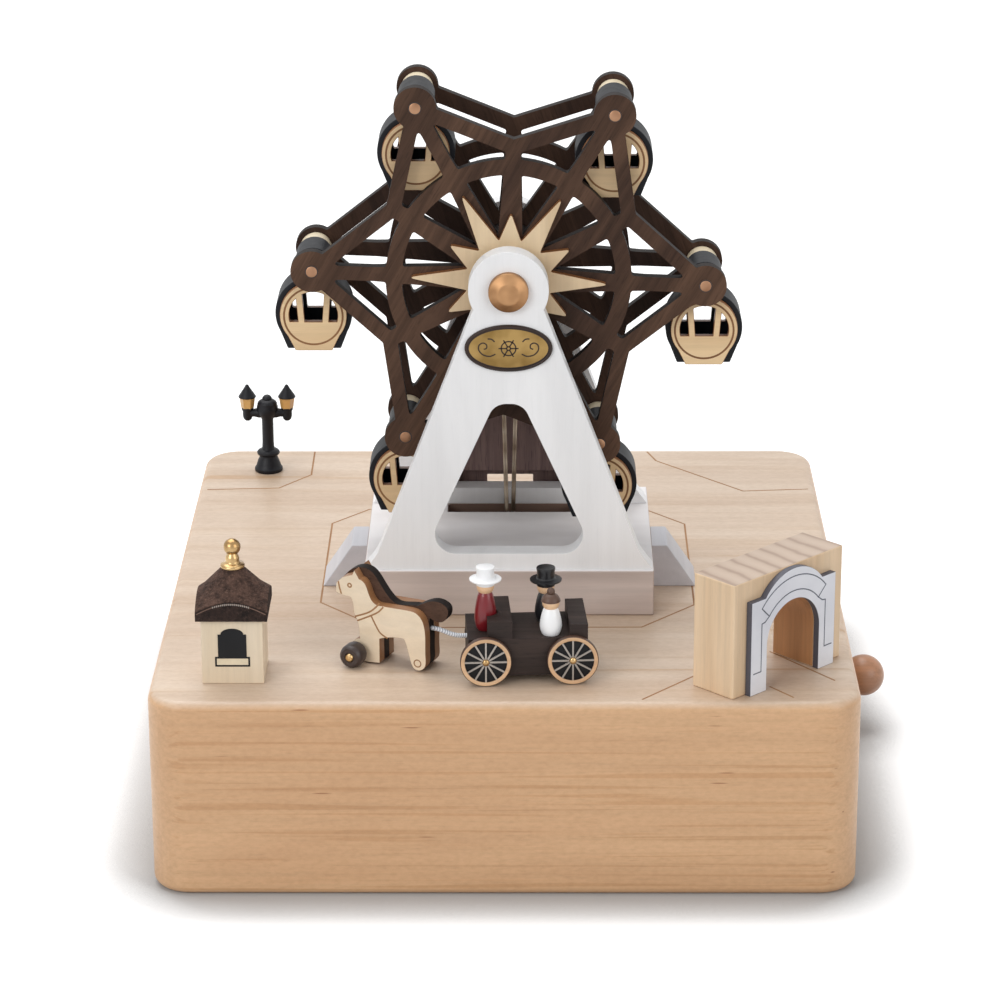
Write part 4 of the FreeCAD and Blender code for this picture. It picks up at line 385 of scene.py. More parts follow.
def paints():
    """Paints and drawn lines, each as its name, light tone, dark tone, roughness, brush marks,
    coat and gleam."""
    for name, light, dark, *rest in (
            ("black_paint", (32, 34, 39), (19, 21, 25), 0.50, 0.4, 0.0, 0.2),
            ("lamp_black", (22, 22, 27), (12, 12, 15), 0.42, 0.4, 0.0, 0.25),
            ("matt_black", (30, 30, 32), (18, 18, 20), 0.6, 0.8, 0.0, 0.2),
            ("spool_black", (40, 36, 35), (22, 20, 20), 0.45),
            ("amber_paint", (222, 174, 104), (200, 148, 80), 0.35),
            ("scorched_line", (166, 124, 84), (140, 98, 62), 0.7, 0.2, 0.0),
            ("dark_scorch", (140, 98, 62), (112, 74, 44), 0.7, 0.2, 0.0),
            ("seam_line", (128, 100, 86), (98, 74, 62), 0.7, 0.2, 0.0),
            ("ink_line", (104, 108, 118), (78, 82, 92), 0.7, 0.2, 0.0),
            ("coat_red", (132, 22, 32), (102, 12, 20), 0.3, 0.2, 0.3, 0.4),
            ("hat_white", (250, 250, 250), (236, 236, 238), 0.3, 0.2, 0.3),
            ("coat_black", (28, 28, 31), (16, 16, 18), 0.34, 0.2, 0.1, 0.35),
            ("hair_brown", (88, 64, 52), (52, 36, 29), 0.45, 0.6, 0.1, 0.35),
            ("bare_peg_wood", (236, 196, 156), (222, 176, 134), 0.4, 0.2),
            ("spoke_paint", (186, 178, 170), (150, 142, 134), 0.4, 0.2),
            ("toy_tyre", (66, 54, 51), (42, 34, 33), 0.4, 0.4, 0.1, 0.35),
            ("plaque_rim", (52, 37, 31), (34, 25, 21), 0.4, 0.2, 0.0, 0.3)):
        painted(name, light, dark, *rest)
    # the facing's edges turn dark grey: painted shade on its bevels
    edges_scorched_and_shaded(painted("stone_paint", (230, 230, 235), (213, 213, 220), 0.5, 0.9, 0.0),
              GATE_OUT, (78, 78, 88), 0.75, 0.95)
    bark("roof_bark", (44, 31, 26), (92, 69, 59), (132, 102, 88))
    bark("fascia_bark", (26, 19, 17), (60, 45, 40), (96, 76, 68))


def metals():
    """Metals and the two cords, each as its name, light tone, dark tone and roughness."""
    metal("cap_copper", (176, 136, 98), (142, 106, 74), 0.48, (90, 90, 90))
    metal("turned_brass", (208, 178, 130), (160, 128, 86), 0.26)
    metal("pin_brass", (172, 134, 106), (142, 106, 82), 0.42)
    metal("plaque_bronze", (164, 136, 86), (132, 106, 62), 0.52)
    metal("drawn_steel", (196, 197, 200), (164, 165, 170), 0.3)
    metal("grey_casting", (142, 143, 146), (112, 113, 117), 0.55)
    metal("belt_band", (190, 176, 158), (128, 112, 96), 0.38, (500, 500, 40))
    spun_cord("tow_thread", (236, 238, 242), (176, 180, 188))


# ------------------------------------------------------------------ making pieces
def shaded(mesh, sharp=35.0):
    """Smooth all over, except across edges that turn by more than the angle."""
    mesh.shade_smooth()
    mesh.set_sharp_from_angle(angle=math.radians(sharp))
    return mesh


def finished(mesh, finish):
    mesh.materials.clear()
    mesh.materials.append(FINISH[finish])
    return mesh


def to_mesh(work, name, sharp=35.0):
    bmesh.ops.recalc_face_normals(work, faces=work.faces)
    mesh = bpy.data.meshes.new(name)
    work.to_mesh(mesh)
    work.free()
    return shaded(mesh, sharp)


def joined(name, meshes):
    """Several meshes made one, each keeping its own finish."""
    work = bmesh.new()
    finishes = []
    for mesh in meshes:
        start = len(work.faces)
        work.from_mesh(mesh)
        work.faces.ensure_lookup_table()
        for finish in mesh.materials:
            if finish not in finishes:
                finishes.append(finish)
            for face in work.faces[start:]:
                face.material_index = finishes.index(finish)
    made = bpy.data.meshes.new(name)
    work.to_mesh(made)
    work.free()
    for finish in finishes:
        made.materials.append(finish)
    return shaded(made)


def keep(name, made, node, finish=None, stands_in=True):
    """Puts a mesh, or several as one, in the scene on its node's body.

    It takes the node's place there, unless it only adds to the node.
    """
    mesh = joined(name, made) if isinstance(made, list) else made
    if finish:
        finished(mesh, finish)
    piece = bpy.data.objects.new(name, mesh)
    bpy.context.scene.collection.objects.link(piece)
    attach(piece, BODY_OF[node])
    if stands_in:
        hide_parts(node)
    return piece


def applied(name, mesh, kind, settings, inputs=None):
    """The mesh after one modifier, given its settings and its node tree's inputs."""
    carrier = bpy.data.objects.new(name + "_carrier", mesh)
    bpy.context.scene.collection.objects.link(carrier)
    modifier = carrier.modifiers.new(kind, kind)
    for key, value in settings.items():
        setattr(modifier, key, value)
    for key, value in (inputs or {}).items():
        modifier[key] = value
    graph = bpy.context.evaluated_depsgraph_get()
    made = bpy.data.meshes.new_from_object(carrier.evaluated_get(graph))
    carrier.modifiers.clear()
    bpy.data.objects.remove(carrier)
    made.name = name
    return made


def bevelled(name, mesh, width, steps=2):
    return applied(name, mesh, "BEVEL", {
        "width": width * MM, "segments": steps, "limit_method": "ANGLE",
        "angle_limit": math.radians(32.0), "harden_normals": True, "use_clamp_overlap": True})


def copied(node):
    """A node's own solid with its loose triangles merged, ready to be worked on."""
    work = bmesh.new()
    work.from_mesh(NODES[node].data)
    bmesh.ops.remove_doubles(work, verts=work.verts, dist=0.002 * MM)
    return work


def levelled(work, angle):
    """Makes one face of faces that lie in one plane, to an angle in degrees."""
    bmesh.ops.dissolve_limit(work, angle_limit=math.radians(angle), verts=work.verts,
                             edges=work.edges)


def eased(node, finish, edge, steps=2):
    """The node's own solid with its sharp edges softened, in place of the plain one."""
    work = copied(node)
    levelled(work, 0.6)
    name = node + "_eased"
    mesh = to_mesh(work, name + "_plain")
    if edge:
        mesh = bevelled(name, mesh, edge, steps)
    return keep(name, mesh, node, finish)


def lofted(work, rows, ends=True):
    """Faces from each closed row of corners to the next, and one on each end."""
    for near, far in zip(rows, rows[1:]):
        for step, corner in enumerate(near):
            after = (step + 1) % len(near)
            work.faces.new((corner, near[after], far[after], far[step]))
    if ends:
        work.faces.new(rows[0])
        work.faces.new(rows[-1])


def board_outlines(node):
    """The closed outlines of a board cut through along Y, as (across, up) in mm."""
    work = copied(node)
    work.normal_update()
    after = {}
    for edge in work.edges:
        flat = [face for face in edge.link_faces if face.normal.y < -0.99]
        if len(flat) == 1 and len(edge.link_faces) == 2:
            loop = next(loop for loop in flat[0].loops if loop.edge == edge)
            after[loop.vert] = loop.link_loop_next.vert
    outlines = []
    while after:
        spot = next(iter(after))
        outline = []
        while spot in after:
            outline.append(Vector((spot.co.x, spot.co.z)) / MM)
            spot = after.pop(spot)
        outlines.append(outline)
    work.free()
    return outlines


def softened(outline, radius, tip):
    """The outline with its sharp hollow corners, and its sharp tips, drawn as small arcs."""
    hollow = math.radians(205.0)
    sharp = math.radians(70.0)
    steps = 5
    made = []
    for index, spot in enumerate(outline):
        back = outline[index - 1] - spot
        ahead = outline[(index + 1) % len(outline)] - spot
        turn = math.atan2(ahead.cross(back), ahead.dot(back)) % (2 * math.pi)
        pointed = tip and turn < sharp
        if turn < hollow and not pointed:
            made.append(spot)
            continue
        opening = min(turn, 2 * math.pi - turn)
        reach = (tip if pointed else radius) / math.tan(opening / 2)
        reach = min(reach, 0.48 * back.length, 0.48 * ahead.length)
        start = spot + back.normalized() * reach
        end = spot + ahead.normalized() * reach
        for step in range(steps + 1):
            part = step / steps
            made.append(start * (1 - part) ** 2 + spot * 2 * part * (1 - part)
                        + end * part ** 2)
    return made


def cut_board(node, finish, radius, tip=0.0):
    """A laser-cut board in place of its node, with soft corners and eased edges."""
    low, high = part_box(node)
    outlines = [softened(outline, radius, tip) for outline in board_outlines(node)]
    work = bmesh.new()
    rows = []
    for level in (low.y, high.y):
        row = [[work.verts.new((spot.x * MM, level, spot.y * MM)) for spot in outline]
               for outline in outlines]
        rows.append(row)
        flat = [vert for loop in row for vert in loop]
        loops = [[Vector((vert.co.x, vert.co.z, 0)) for vert in loop] for loop in row]
        for corners in tessellate_polygon(loops):
            work.faces.new([flat[corner] for corner in corners])
    for pair in zip(*rows):
        lofted(work, pair, ends=False)
    levelled(work, 0.3)
    mesh = bevelled(node + "_board", to_mesh(work, node + "_plain"), 0.2)
    keep(node + "_board", mesh, node, finish)


def tinted(piece, finish, wanted):
    """Gives a second finish to the faces that wanted() picks."""
    mesh = piece.data
    mesh.materials.append(FINISH[finish])
    for face in mesh.polygons:
        if wanted(face.center / MM, face.normal):
            face.material_index = len(mesh.materials) - 1


def middle(node):
    low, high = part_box(node)
    return (low + high) / 2


def frame_at(origin, along, out):
    """A matrix whose X runs along, whose Y points out and whose Z stands up."""
    side = Vector(along).normalized()
    face = Vector(out).normalized()
    made = Matrix((side, face, side.cross(face))).transposed().to_4x4()
    made.translation = Vector(origin)
    return made


def on_face(spot, out=-1):
    """A place on a face that looks to the front, or with 1 to the rear."""
    return frame_at(spot, (out, 0, 0), (0, out, 0))


def moved(place, spot, degrees=0.0, axis="X"):
    """The place moved by (x, y, z) in mm in its own terms, then turned on its own axis."""
    return (place @ Matrix.Translation(Vector(spot) * MM)
            @ Matrix.Rotation(math.radians(degrees), 4, axis))


def spun(profile, place, steps=48, sharp=35.0, finish=None):
    """A turned solid: (radius, height) in mm round the matrix's own Z, closed at both ends."""
    pole = 1e-6
    work = bmesh.new()
    rings = []
    for radius, height in profile:
        ring = []
        for step in range(steps if radius > pole else 1):
            angle = 2 * math.pi * step / steps
            wide = radius if radius > pole else 0.0
            spot = Vector((wide * math.cos(angle), wide * math.sin(angle), height)) * MM
            ring.append(work.verts.new(place @ spot))
        rings.append(ring)
    for low, high in zip(rings, rings[1:]):
        for step in range(steps):
            after = (step + 1) % steps
            corners = dict.fromkeys((low[step % len(low)], low[after % len(low)],
                                     high[after % len(high)], high[step % len(high)]))
            if len(corners) > 2:
                work.faces.new(list(corners))
    for ring in (rings[0], rings[-1]):
        if len(ring) > 1:
            work.faces.new(ring)
    mesh = to_mesh(work, "turned", sharp)
    return finished(mesh, finish) if finish else mesh


def ball(radius, centre, start=0.0, steps=16, tall=None):
    """A ball's (radius, height) in mm, from an angle off its foot up to its top."""
    made = []
    for step in range(steps + 1):
        angle = math.radians(start + (180.0 - start) * step / steps)
        made.append((radius * math.sin(angle), centre - (tall or radius) * math.cos(angle)))
    return made


def smooth_line(points, steps=6):
    """Points on a soft curve through the given ones."""
    spots = [Vector(point) for point in (points[0], *points, points[-1])]
    made = []
    for p0, p1, p2, p3 in zip(spots, spots[1:], spots[2:], spots[3:]):
        for step in range(steps):
            t = step / steps
            made.append(0.5 * ((2 * p1) + (p2 - p0) * t + (2 * p0 - 5 * p1 + 4 * p2 - p3) * t * t
                               + (3 * p1 - p0 - 3 * p2 + p3) * t ** 3))
    return made + [spots[-1]]


def line_strip(work, points, width, place, proud, closed):
    """A thin drawn line on a face: a flat ribbon, a hair proud of the face it lies on.

    Points are (across, up) in mm in the plane of the matrix's X and Z; its Y points out.
    """
    sunk = 0.05
    flat = [Vector(point) for point in points]
    rows = []
    for index, spot in enumerate(flat):
        ways = []
        if index or closed:
            ways.append((spot - flat[index - 1]).normalized())
        if index < len(flat) - 1 or closed:
            ways.append((flat[(index + 1) % len(flat)] - spot).normalized())
        way = sum(ways, Vector((0, 0))).normalized()
        side = Vector((-way.y, way.x))
        spread = width / 2 / max(side.dot(Vector((-ways[0].y, ways[0].x))), 0.5)
        row = []
        for offset, depth in ((-spread, -sunk), (spread, -sunk), (spread, proud),
                              (-spread, proud)):
            edge = spot + side * offset
            row.append(work.verts.new(place @ (Vector((edge.x, depth, edge.y)) * MM)))
        rows.append(row)
    lofted(work, rows + rows[:1] if closed else rows, ends=not closed)


def drawn(width, place, runs=(), loops=(), proud=0.03):
    """Thin lines on a face as one mesh: open runs and closed loops of (across, up) in mm."""
    work = bmesh.new()
    for lines, closed in ((loops, True), (runs, False)):
        for points in lines:
            line_strip(work, points, width, place, proud, closed)
    return to_mesh(work, "drawn_lines")


def circle_points(radius, centre=(0.0, 0.0), steps=48, start=0.0, sweep=360.0):
    """(across, up) on a circle, or on an arc of it with both its ends."""
    made = []
    for step in range(steps if sweep >= 360.0 else steps + 1):
        angle = math.radians(start + sweep * step / steps)
        made.append((centre[0] + radius * math.cos(angle), centre[1] + radius * math.sin(angle)))
    return made


def slab(outline, depth, place):
    """A flat board: its outline (across, up) in mm, thick towards the matrix's Y."""
    work = bmesh.new()
    lofted(work, [[work.verts.new(place @ (Vector((x, level, z)) * MM)) for x, z in outline]
                  for level in (0.0, depth)])
    return to_mesh(work, "slab")


# ------------------------------------------------------------------ repeats
def ring_tree():
    """Sets copies of one piece round a centre, each turned to face outwards."""
    tree = bpy.data.node_groups.new("set_round_a_centre", "GeometryNodeTree")
    for name, way, kind in (("Geometry", "INPUT", "Geometry"), ("Count", "INPUT", "Int"),
                            ("Radius", "INPUT", "Float"), ("Finish", "INPUT", "Material"),
                            ("Geometry", "OUTPUT", "Geometry")):
        tree.interface.new_socket(name, in_out=way, socket_type="NodeSocket" + kind)
    nodes = Wiring(tree)
    given = nodes.add("NodeGroupInput").outputs
    circle = nodes.add("GeometryNodeMeshCircle", {
        "Vertices": given["Count"], "Radius": given["Radius"]})
    spot = nodes.split(nodes.add("GeometryNodeInputPosition").outputs["Position"])
    turn = nodes.add("ShaderNodeCombineXYZ", {"Z": nodes.math("ARCTAN2", spot["Y"], spot["X"])})
    euler = nodes.add("FunctionNodeEulerToRotation", {"Euler": turn.outputs["Vector"]})
    scatter = nodes.add("GeometryNodeInstanceOnPoints", {
        "Points": circle.outputs["Mesh"], "Instance": given["Geometry"],
        "Rotation": euler.outputs["Rotation"]})
    solid = nodes.add("GeometryNodeRealizeInstances", {
        "Geometry": scatter.outputs["Instances"]})
    paint = nodes.add("GeometryNodeSetMaterial", {
        "Geometry": solid.outputs["Geometry"], "Material": given["Finish"]})
    nodes.add("NodeGroupOutput", {"Geometry": paint.outputs["Geometry"]})
    return tree


RING_TREE = ring_tree()


def set_round(name, mesh, count, radius, finish, place):
    """Copies of a mesh round a centre, as one mesh; place turns and moves the whole ring."""
    wanted = {"Count": count, "Radius": radius * MM, "Finish": FINISH[finish]}
    made = applied(name, mesh, "NODES", {"node_group": RING_TREE}, {
        item.identifier: wanted[item.name] for item in RING_TREE.interface.items_tree
        if item.name in wanted})
    made.transform(place)
    return finished(shaded(made), finish)


# ------------------------------------------------------------------ case and platform
def burnt_lines():
    """Thin scorched lines that mark the park's paths on the case top."""
    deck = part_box("platform_block")[0].z
    place = Matrix(((1, 0, 0, 0), (0, 0, 1, 0), (0, 1, 0, deck), (0, 0, 0, 1)))
    octagon = [(-49.5, 32.8), (-49.5, -28.3), (-39.7, -39.3), (-33.7, -46.3), (35.9, -46.0),
               (50.4, -30.0), (50.3, 32.2), (40.5, 43.2), (-39.4, 44.5)]
    back_left = [(-87.4, 61.3), (-66.6, 62.6), (-57.8, 74.2), (-57.9, 94.8)]
    back_right = [(41.6, 94.8), (44.0, 86.6), (68.4, 59.9), (87.4, 61.6)]
    gate_left = [(34.6, -94.6), (48.4, -79.1)]
    gate_back = [(68.5, -62.9), (83.8, -82.3)]
    gate_front = [(67.0, -86.2), (72.6, -93.3)]
    runs = (back_left, back_right, gate_left, gate_back, gate_front)
    keep("burnt_lines", drawn(0.5, place, runs, [octagon]), "base_case", "scorched_line", False)


def case_and_platform():
    eased("base_case", "case_maple", 0.0)
    burnt_lines()
    block = eased("platform_block", "whitewashed_block", 0.5)
    low, high = (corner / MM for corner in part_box("platform_block"))
    inside = 5.0

    def in_slot(spot, normal):
        return (abs(normal.z) < 0.5 and low.x + inside < spot.x < high.x - inside
                and low.y + inside < spot.y < high.y - inside)
    # the slot's walls: bare timber with painted shade
    tinted(block, "slot_wood_painted_shade", in_slot)
    # ramps greyer than the frames: painted shade
    eased("boarding_ramps", "ramp_whitewash_painted_shade", 0.3)
    eased("front_a_frame", "whitewashed_frame", 0.6, 3)
    eased("rear_a_frame", "whitewashed_frame", 0.6, 3)
    eased("back_panel", "panel_walnut", 0.3)
    eased("bottom_cover", "cover_board", 0.3)


def plaque():
    """Oval plaque: a bronze field in a dark raised rim, with a small wheel and scrolls."""
    node = "name_plaque"
    low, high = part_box(node)
    centre = (low + high) / 2
    long, thick, short = (high - low) / MM
    place = on_face((centre.x, high.y, centre.z))
    rim = 0.75
    floor = 0.68

    def dish(*rings):
        """Ovals, each as its inset in mm and its share of the thickness, joined up."""
        work = bmesh.new()
        lofted(work, [[work.verts.new(place @ (Vector((
            x * (long / 2 - inset), share * thick, z * (short / 2 - inset))) * MM))
            for x, z in circle_points(1.0, steps=72)] for inset, share in rings])
        return to_mesh(work, "dish")
    keep("plaque_rim", dish((rim, 0.0), (0.0, 0.0), (0.0, 0.6), (0.22, 0.92), (0.5, 1.0),
                            (0.75, 0.9), (rim, 0.6)), node, "plaque_rim")
    keep("plaque_field", dish((rim * 0.8, 0.0), (rim * 0.8, 0.55), (rim + 0.6, 0.62),
                              (rim + 3.0, floor)), node, "plaque_bronze", False)
    hub = 0.5
    spoke = 2.6
    spokes = [[(reach * x, reach * z) for reach in (hub, spoke)]
              for x, z in circle_points(1.0, steps=6)]
    curl = [(3.4, -1.5), (4.8, -2.1), (6.6, -1.7), (7.7, -0.4), (7.6, 0.9), (6.6, 1.5),
            (5.7, 1.0), (5.7, 0.1), (6.4, -0.2)]
    leaf = [(3.6, 1.8), (4.4, 2.5), (5.4, 2.6)]
    scrolls = [smooth_line([(side * x, z) for x, z in line])
               for side in (-1, 1) for line in (curl, leaf)]
    lines = drawn(0.34, moved(place, (0, thick * floor, 0)), spokes + scrolls,
                  [circle_points(1.9, steps=32), circle_points(hub, steps=16)])
    keep("plaque_ornament", lines, node, "plaque_rim", False)


def axle_caps():
    """Round caps with a straight band and a bevelled face, on both A-frames' heads."""
    low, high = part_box("axle_caps")
    axle = middle("wheel_axle")
    radius = (high.x - low.x) / 2 / MM
    front_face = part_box("front_a_frame")[0].y
    rear_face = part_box("rear_a_frame")[1].y
    rise = (front_face - low.y) / MM
    profile = [(radius * 0.9, -0.1), (radius, 0.05), (radius, 1.55), (radius - 0.12, 1.8),
               (radius - 0.4, 1.98), (3.15, rise - 0.25), (2.85, rise - 0.06), (2.4, rise),
               (0.0, rise)]
    caps = [spun(profile, frame_at((axle.x, level, axle.z), (1, 0, 0), (0, 0, out)), 64, 60.0)
            for level, out in ((front_face, 1), (rear_face, -1))]
    keep("copper_caps", caps, "axle_caps", "cap_copper")


# ------------------------------------------------------------------ wheel
def pins():
    """Brass pins with dark collars, set round the axle through both wheel plates."""
    low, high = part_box("tip_pins")
    axle = middle("wheel_axle")
    hang = {joint["name"]: joint for joint in frame["joints"]}["gondola_1_hang"]
    first = Vector(hang["pos_m"]) - axle
    reach = math.hypot(first.x, first.z) / MM
    tilt = math.atan2(first.z, first.x)
    ring = (Matrix.Translation((axle.x, 0, axle.z)) @ Matrix.Rotation(-tilt, 4, "Y")
            @ Matrix.Rotation(math.radians(90), 4, "X"))
    front = -low.y / MM
    back = -high.y / MM
    core = 1.45
    outer = 1.7
    ledge = 0.25
    rod = [(0.0, back), (core * 0.8, back), (core, back + 0.1), (core, front - 0.12),
           (core * 0.8, front), (0.0, front)]
    tube = [(core, back + ledge), (outer, back + ledge), (outer, front - ledge),
            (core, front - ledge)]
    for name, profile, finish in (("pin_cores", rod, "pin_brass"),
                                  ("pin_collars", tube, "toy_tyre")):
        pin = spun(profile, Matrix.Identity(4), 24)
        keep(name, set_round(name, pin, len(GONDOLAS), reach, finish, ring), "tip_pins",
             stands_in=name == "pin_cores")


def wheel():
    cut_board("front_wheel_plate", "wheel_walnut", 0.8)
    # the rear plate's darker walnut is painted shade cast by the front plate
    cut_board("rear_wheel_plate", "rear_walnut_painted_shade", 0.8)
    cut_board("wheel_star", "star_maple", 0.3, 0.5)
    eased("wheel_hub", "spool_black", 0.4)
    eased("tip_spacers", "spacer_maple", 0.3)
    pins()


def gondola(number):
    """Black shell with soft edges, maple faces engraved with a ring and black inside."""
    faces = f"gondola_{number}_faces"
    eased(f"gondola_{number}_shell", "black_paint", 0.8, 3)
    discs = eased(faces, "gondola_maple", 0.2)
    low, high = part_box(faces)
    between = (low.y + high.y) / 2 / MM

    def looks_in(spot, normal):
        return abs(normal.y) > 0.7 and normal.y * (between - spot.y) > 0
    tinted(discs, "black_paint", looks_in)
    radius = (high.x - low.x) / 2 / MM
    ring = circle_points(radius - 1.1, steps=56)
    for tag, level, out in (("front", low.y, -1), ("rear", high.y, 1)):
        place = on_face(((low.x + high.x) / 2, level, high.z - radius * MM), out)
        keep(f"gondola_{number}_{tag}_ring", drawn(0.5, place, loops=[ring]), faces,
             "dark_scorch", False)


# ------------------------------------------------------------------ crank and works
def crank():
    low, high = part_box("crank_knob")
    place = frame_at((low + high) / 2, (0, 1, 0), (0, 0, 1))
    keep("ball_knob", spun(ball((high.z - low.z) / 2 / MM, 0.0, steps=24), place, 48, 60.0),
         "crank_knob", "knob_wood")
    eased("crank_arm", "drawn_steel", 0.35)
    eased("crank_bushing", "turned_brass", 0.15)


def works():
    """Pieces whose own plain shapes are right, which only get their finishes."""
    for finish, nodes in (
            ("matt_black", ("wheel_pulley", "crank_pulley", "crank_pinion", "turntable_collar",
                            "magnet_turntable")),
            ("drawn_steel", ("wheel_axle", "crank_shaft", "drive_magnets", "movement_comb",
                             "cover_screws")),
            ("turned_brass", ("music_cylinder",)),
            ("grey_casting", ("movement_bedplate",)),
            ("plain_maple", ("shaft_bracket",)),
            ("belt_band", ("drive_belt",)),
            ("tow_thread", ("tow_link",))):
        for node in nodes:
            finished(NODES[node].data, finish)


# ------------------------------------------------------------------ horse and cart
TRACK = 75.2
TRAIN_LIFT = 0.1


def train_place(turn, side=0.0):
    """The train's own frame at an angle round the track: X leads, Y points outwards."""
    heading = math.radians(-90.0 - turn)
    ahead = Vector((math.cos(heading), math.sin(heading), 0.0))
    out = Vector((-math.sin(heading), math.cos(heading), 0.0))
    spot = Vector((middle("wheel_axle").x, 0, 0)) + out * (TRACK + side) * MM
    spot.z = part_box("platform_block")[0].z + TRAIN_LIFT * MM
    return frame_at(spot, ahead, out)


def horse():
    """Maple sides with engraved harness over a walnut core; small dark front wheels."""
    eased("horse_sides", "horse_maple", 0.3)
    eased("horse_core", "core_walnut", 0.2)
    near = train_place(HORSE_TURN, 4.2)
    collar_top = smooth_line([(0.6, 17.0), (1.85, 15.5), (3.9, 13.9), (7.6, 12.3)])
    collar_low = smooth_line([(-0.5, 16.1), (1.0, 14.5), (3.3, 13.1), (7.0, 11.2)])
    girth = smooth_line([(3.0, 13.2), (1.9, 11.1), (0.5, 8.9), (-1.6, 7.7)])
    bridle = smooth_line([(12.2, 21.2), (11.9, 19.6), (11.4, 17.9)], 5)
    eye = circle_points(0.5, (9.0, 20.6), 16)
    peg_ring = circle_points(0.95, (-10.0, 2.2), 20)
    keep("horse_harness", [drawn(0.42, near, [collar_top, collar_low, girth, bridle]),
                           drawn(0.4, near, loops=[eye]), drawn(0.3, near, loops=[peg_ring])],
         "horse_sides", "scorched_line", False)

    low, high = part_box("horse_wheels")
    ahead = 0.27 * 24.6
    radius = (high.z - low.z) / 2 / MM
    inner = 5.2
    wide = 4.6
    tyre = [(0.95, 0.0), (radius * 0.8, 0.0), (radius * 0.95, 0.35), (radius, 1.0),
            (radius, wide - 1.3), (radius * 0.93, wide - 0.5), (radius * 0.75, wide),
            (1.3, wide), (1.15, wide - 0.25), (0.95, wide - 0.25)]
    stud = [(0.0, -inner), (0.9, -inner), (0.9, wide - 0.2), (1.1, wide - 0.1),
            (0.9, wide + 0.25), (0.45, wide + 0.4), (0.0, wide + 0.4)]
    meshes = []
    for side in (-1, 1):
        hub = moved(train_place(HORSE_TURN), (ahead, side * inner, radius), -90 * side)
        meshes += [spun(tyre, hub, 40, 40.0, "toy_tyre"),
                   spun(stud, hub, 24, 40.0, "turned_brass")]
    keep("horse_front_wheels", meshes, "horse_wheels")


def cart_wheels(node, ahead):
    """Tan rim round a black disc, pale spokes set round a brass hub, on a steel pin that
    ends in a plain collar on the cart's inner side."""
    radius = 6.5
    start = 9.4
    wide = 1.5
    rim = 1.15
    collar = 4.4
    pin = 0.9
    axle = train_place(CART_TURN)
    hub = moved(axle, (ahead, start, radius), -90)
    inner = (ahead, -start, radius)
    hoop = [(radius - rim, 0.0), (radius - 0.2, 0.0), (radius, 0.2), (radius, wide - 0.2),
            (radius - 0.2, wide), (radius - rim + 0.15, wide), (radius - rim, wide - 0.1)]
    disc = [(0.0, 0.1), (radius - rim, 0.1), (radius - rim, wide - 0.45), (0.0, wide - 0.45)]
    spoke = slab([(-2.1, -0.21), (2.45, -0.21), (2.45, 0.21), (-2.1, 0.21)], 0.35,
                 Matrix.Rotation(math.radians(90), 4, "X"))
    stud = [(0.0, wide - 0.5), (1.0, wide - 0.5), (1.0, wide), (0.8, wide + 0.3),
            (0.4, wide + 0.48), (0.0, wide + 0.5)]
    ring = [(0.0, 0.0), (collar - 0.2, 0.0), (collar, 0.2), (collar, wide - 0.3),
            (collar - 0.3, wide), (0.0, wide)]
    rod = [(0.0, 0.0), (pin, 0.0), (pin, 2 * start), (0.0, 2 * start)]
    keep(node + "_spoked", [
        spun(hoop + hoop[:1], hub, 72, 40.0, "rim_wood"),
        spun(disc, hub, 72, 40.0, "matt_black"),
        set_round("spokes", spoke, 12, 2.9, "spoke_paint", moved(hub, (0, 0, wide - 0.46))),
        spun(stud, hub, 6, 30.0, "turned_brass"),
        spun(ring, moved(axle, inner, 90), 48, 40.0, "matt_black"),
        spun(rod, moved(axle, inner, -90), 24, finish="drawn_steel")], node)


def peg_figure(ahead, side, neck, paint, hat):
    """A turned peg doll without features: body, head and a hat or a knot of hair."""
    foot = 12.1
    head = 2.3
    knot = 1.05
    place = moved(train_place(CART_TURN), (ahead, side, foot))
    body = [(0.0, 0.0), (2.1, 0.0), (2.35, 0.04), (2.7, 0.18), (2.86, 0.32), (2.72, 0.5),
            (2.4, 0.7), (2.0, 0.88), (1.6, 0.98), (1.3, 1.01), (0.0, 1.02)]
    centre = neck + head * 0.5
    top = neck + head * 1.25
    meshes = [spun([(wide, tall * neck) for wide, tall in body], place, 40, 60.0, paint),
              spun(ball(head * 0.97, centre, tall=head), place, 36, 60.0, "bare_peg_wood")]
    if hat:
        crown = [(0.0, -1.3), (2.3, -1.3), (2.45, -0.5), (3.3, -0.25), (4.05, 0.05),
                 (4.08, 0.35), (3.3, 0.5), (2.55, 0.62), (2.3, 0.95), (2.25, 2.4), (2.45, 3.2),
                 (2.35, 3.52), (2.0, 3.6), (0.0, 3.6)]
        return meshes + [spun([(wide, top + tall) for wide, tall in crown], place, 48, 45.0, hat)]
    cap = ball(head * 1.08, centre + 0.1, 96.0, 10, head * 1.06)
    return meshes + [spun(cap, place, 36, 60.0, "hair_brown"),
                     spun(ball(knot, top + 1.15, steps=10), place, 24, 60.0, "hair_brown")]


def cart():
    eased("cart_body", "cart_walnut", 0.3)
    cart_wheels("cart_front_wheels", 11.0)
    cart_wheels("cart_rear_wheels", -11.0)
    keep("coachman_doll", peg_figure(10.6, 1.5, 10.4, "coat_red", "hat_white"), "coachman")
    keep("passenger_dolls", peg_figure(-5.05, -3.4, 8.0, "coat_black", "coat_black")
         + peg_figure(-5.7, 6.0, 7.4, "hat_white", None), "passengers")


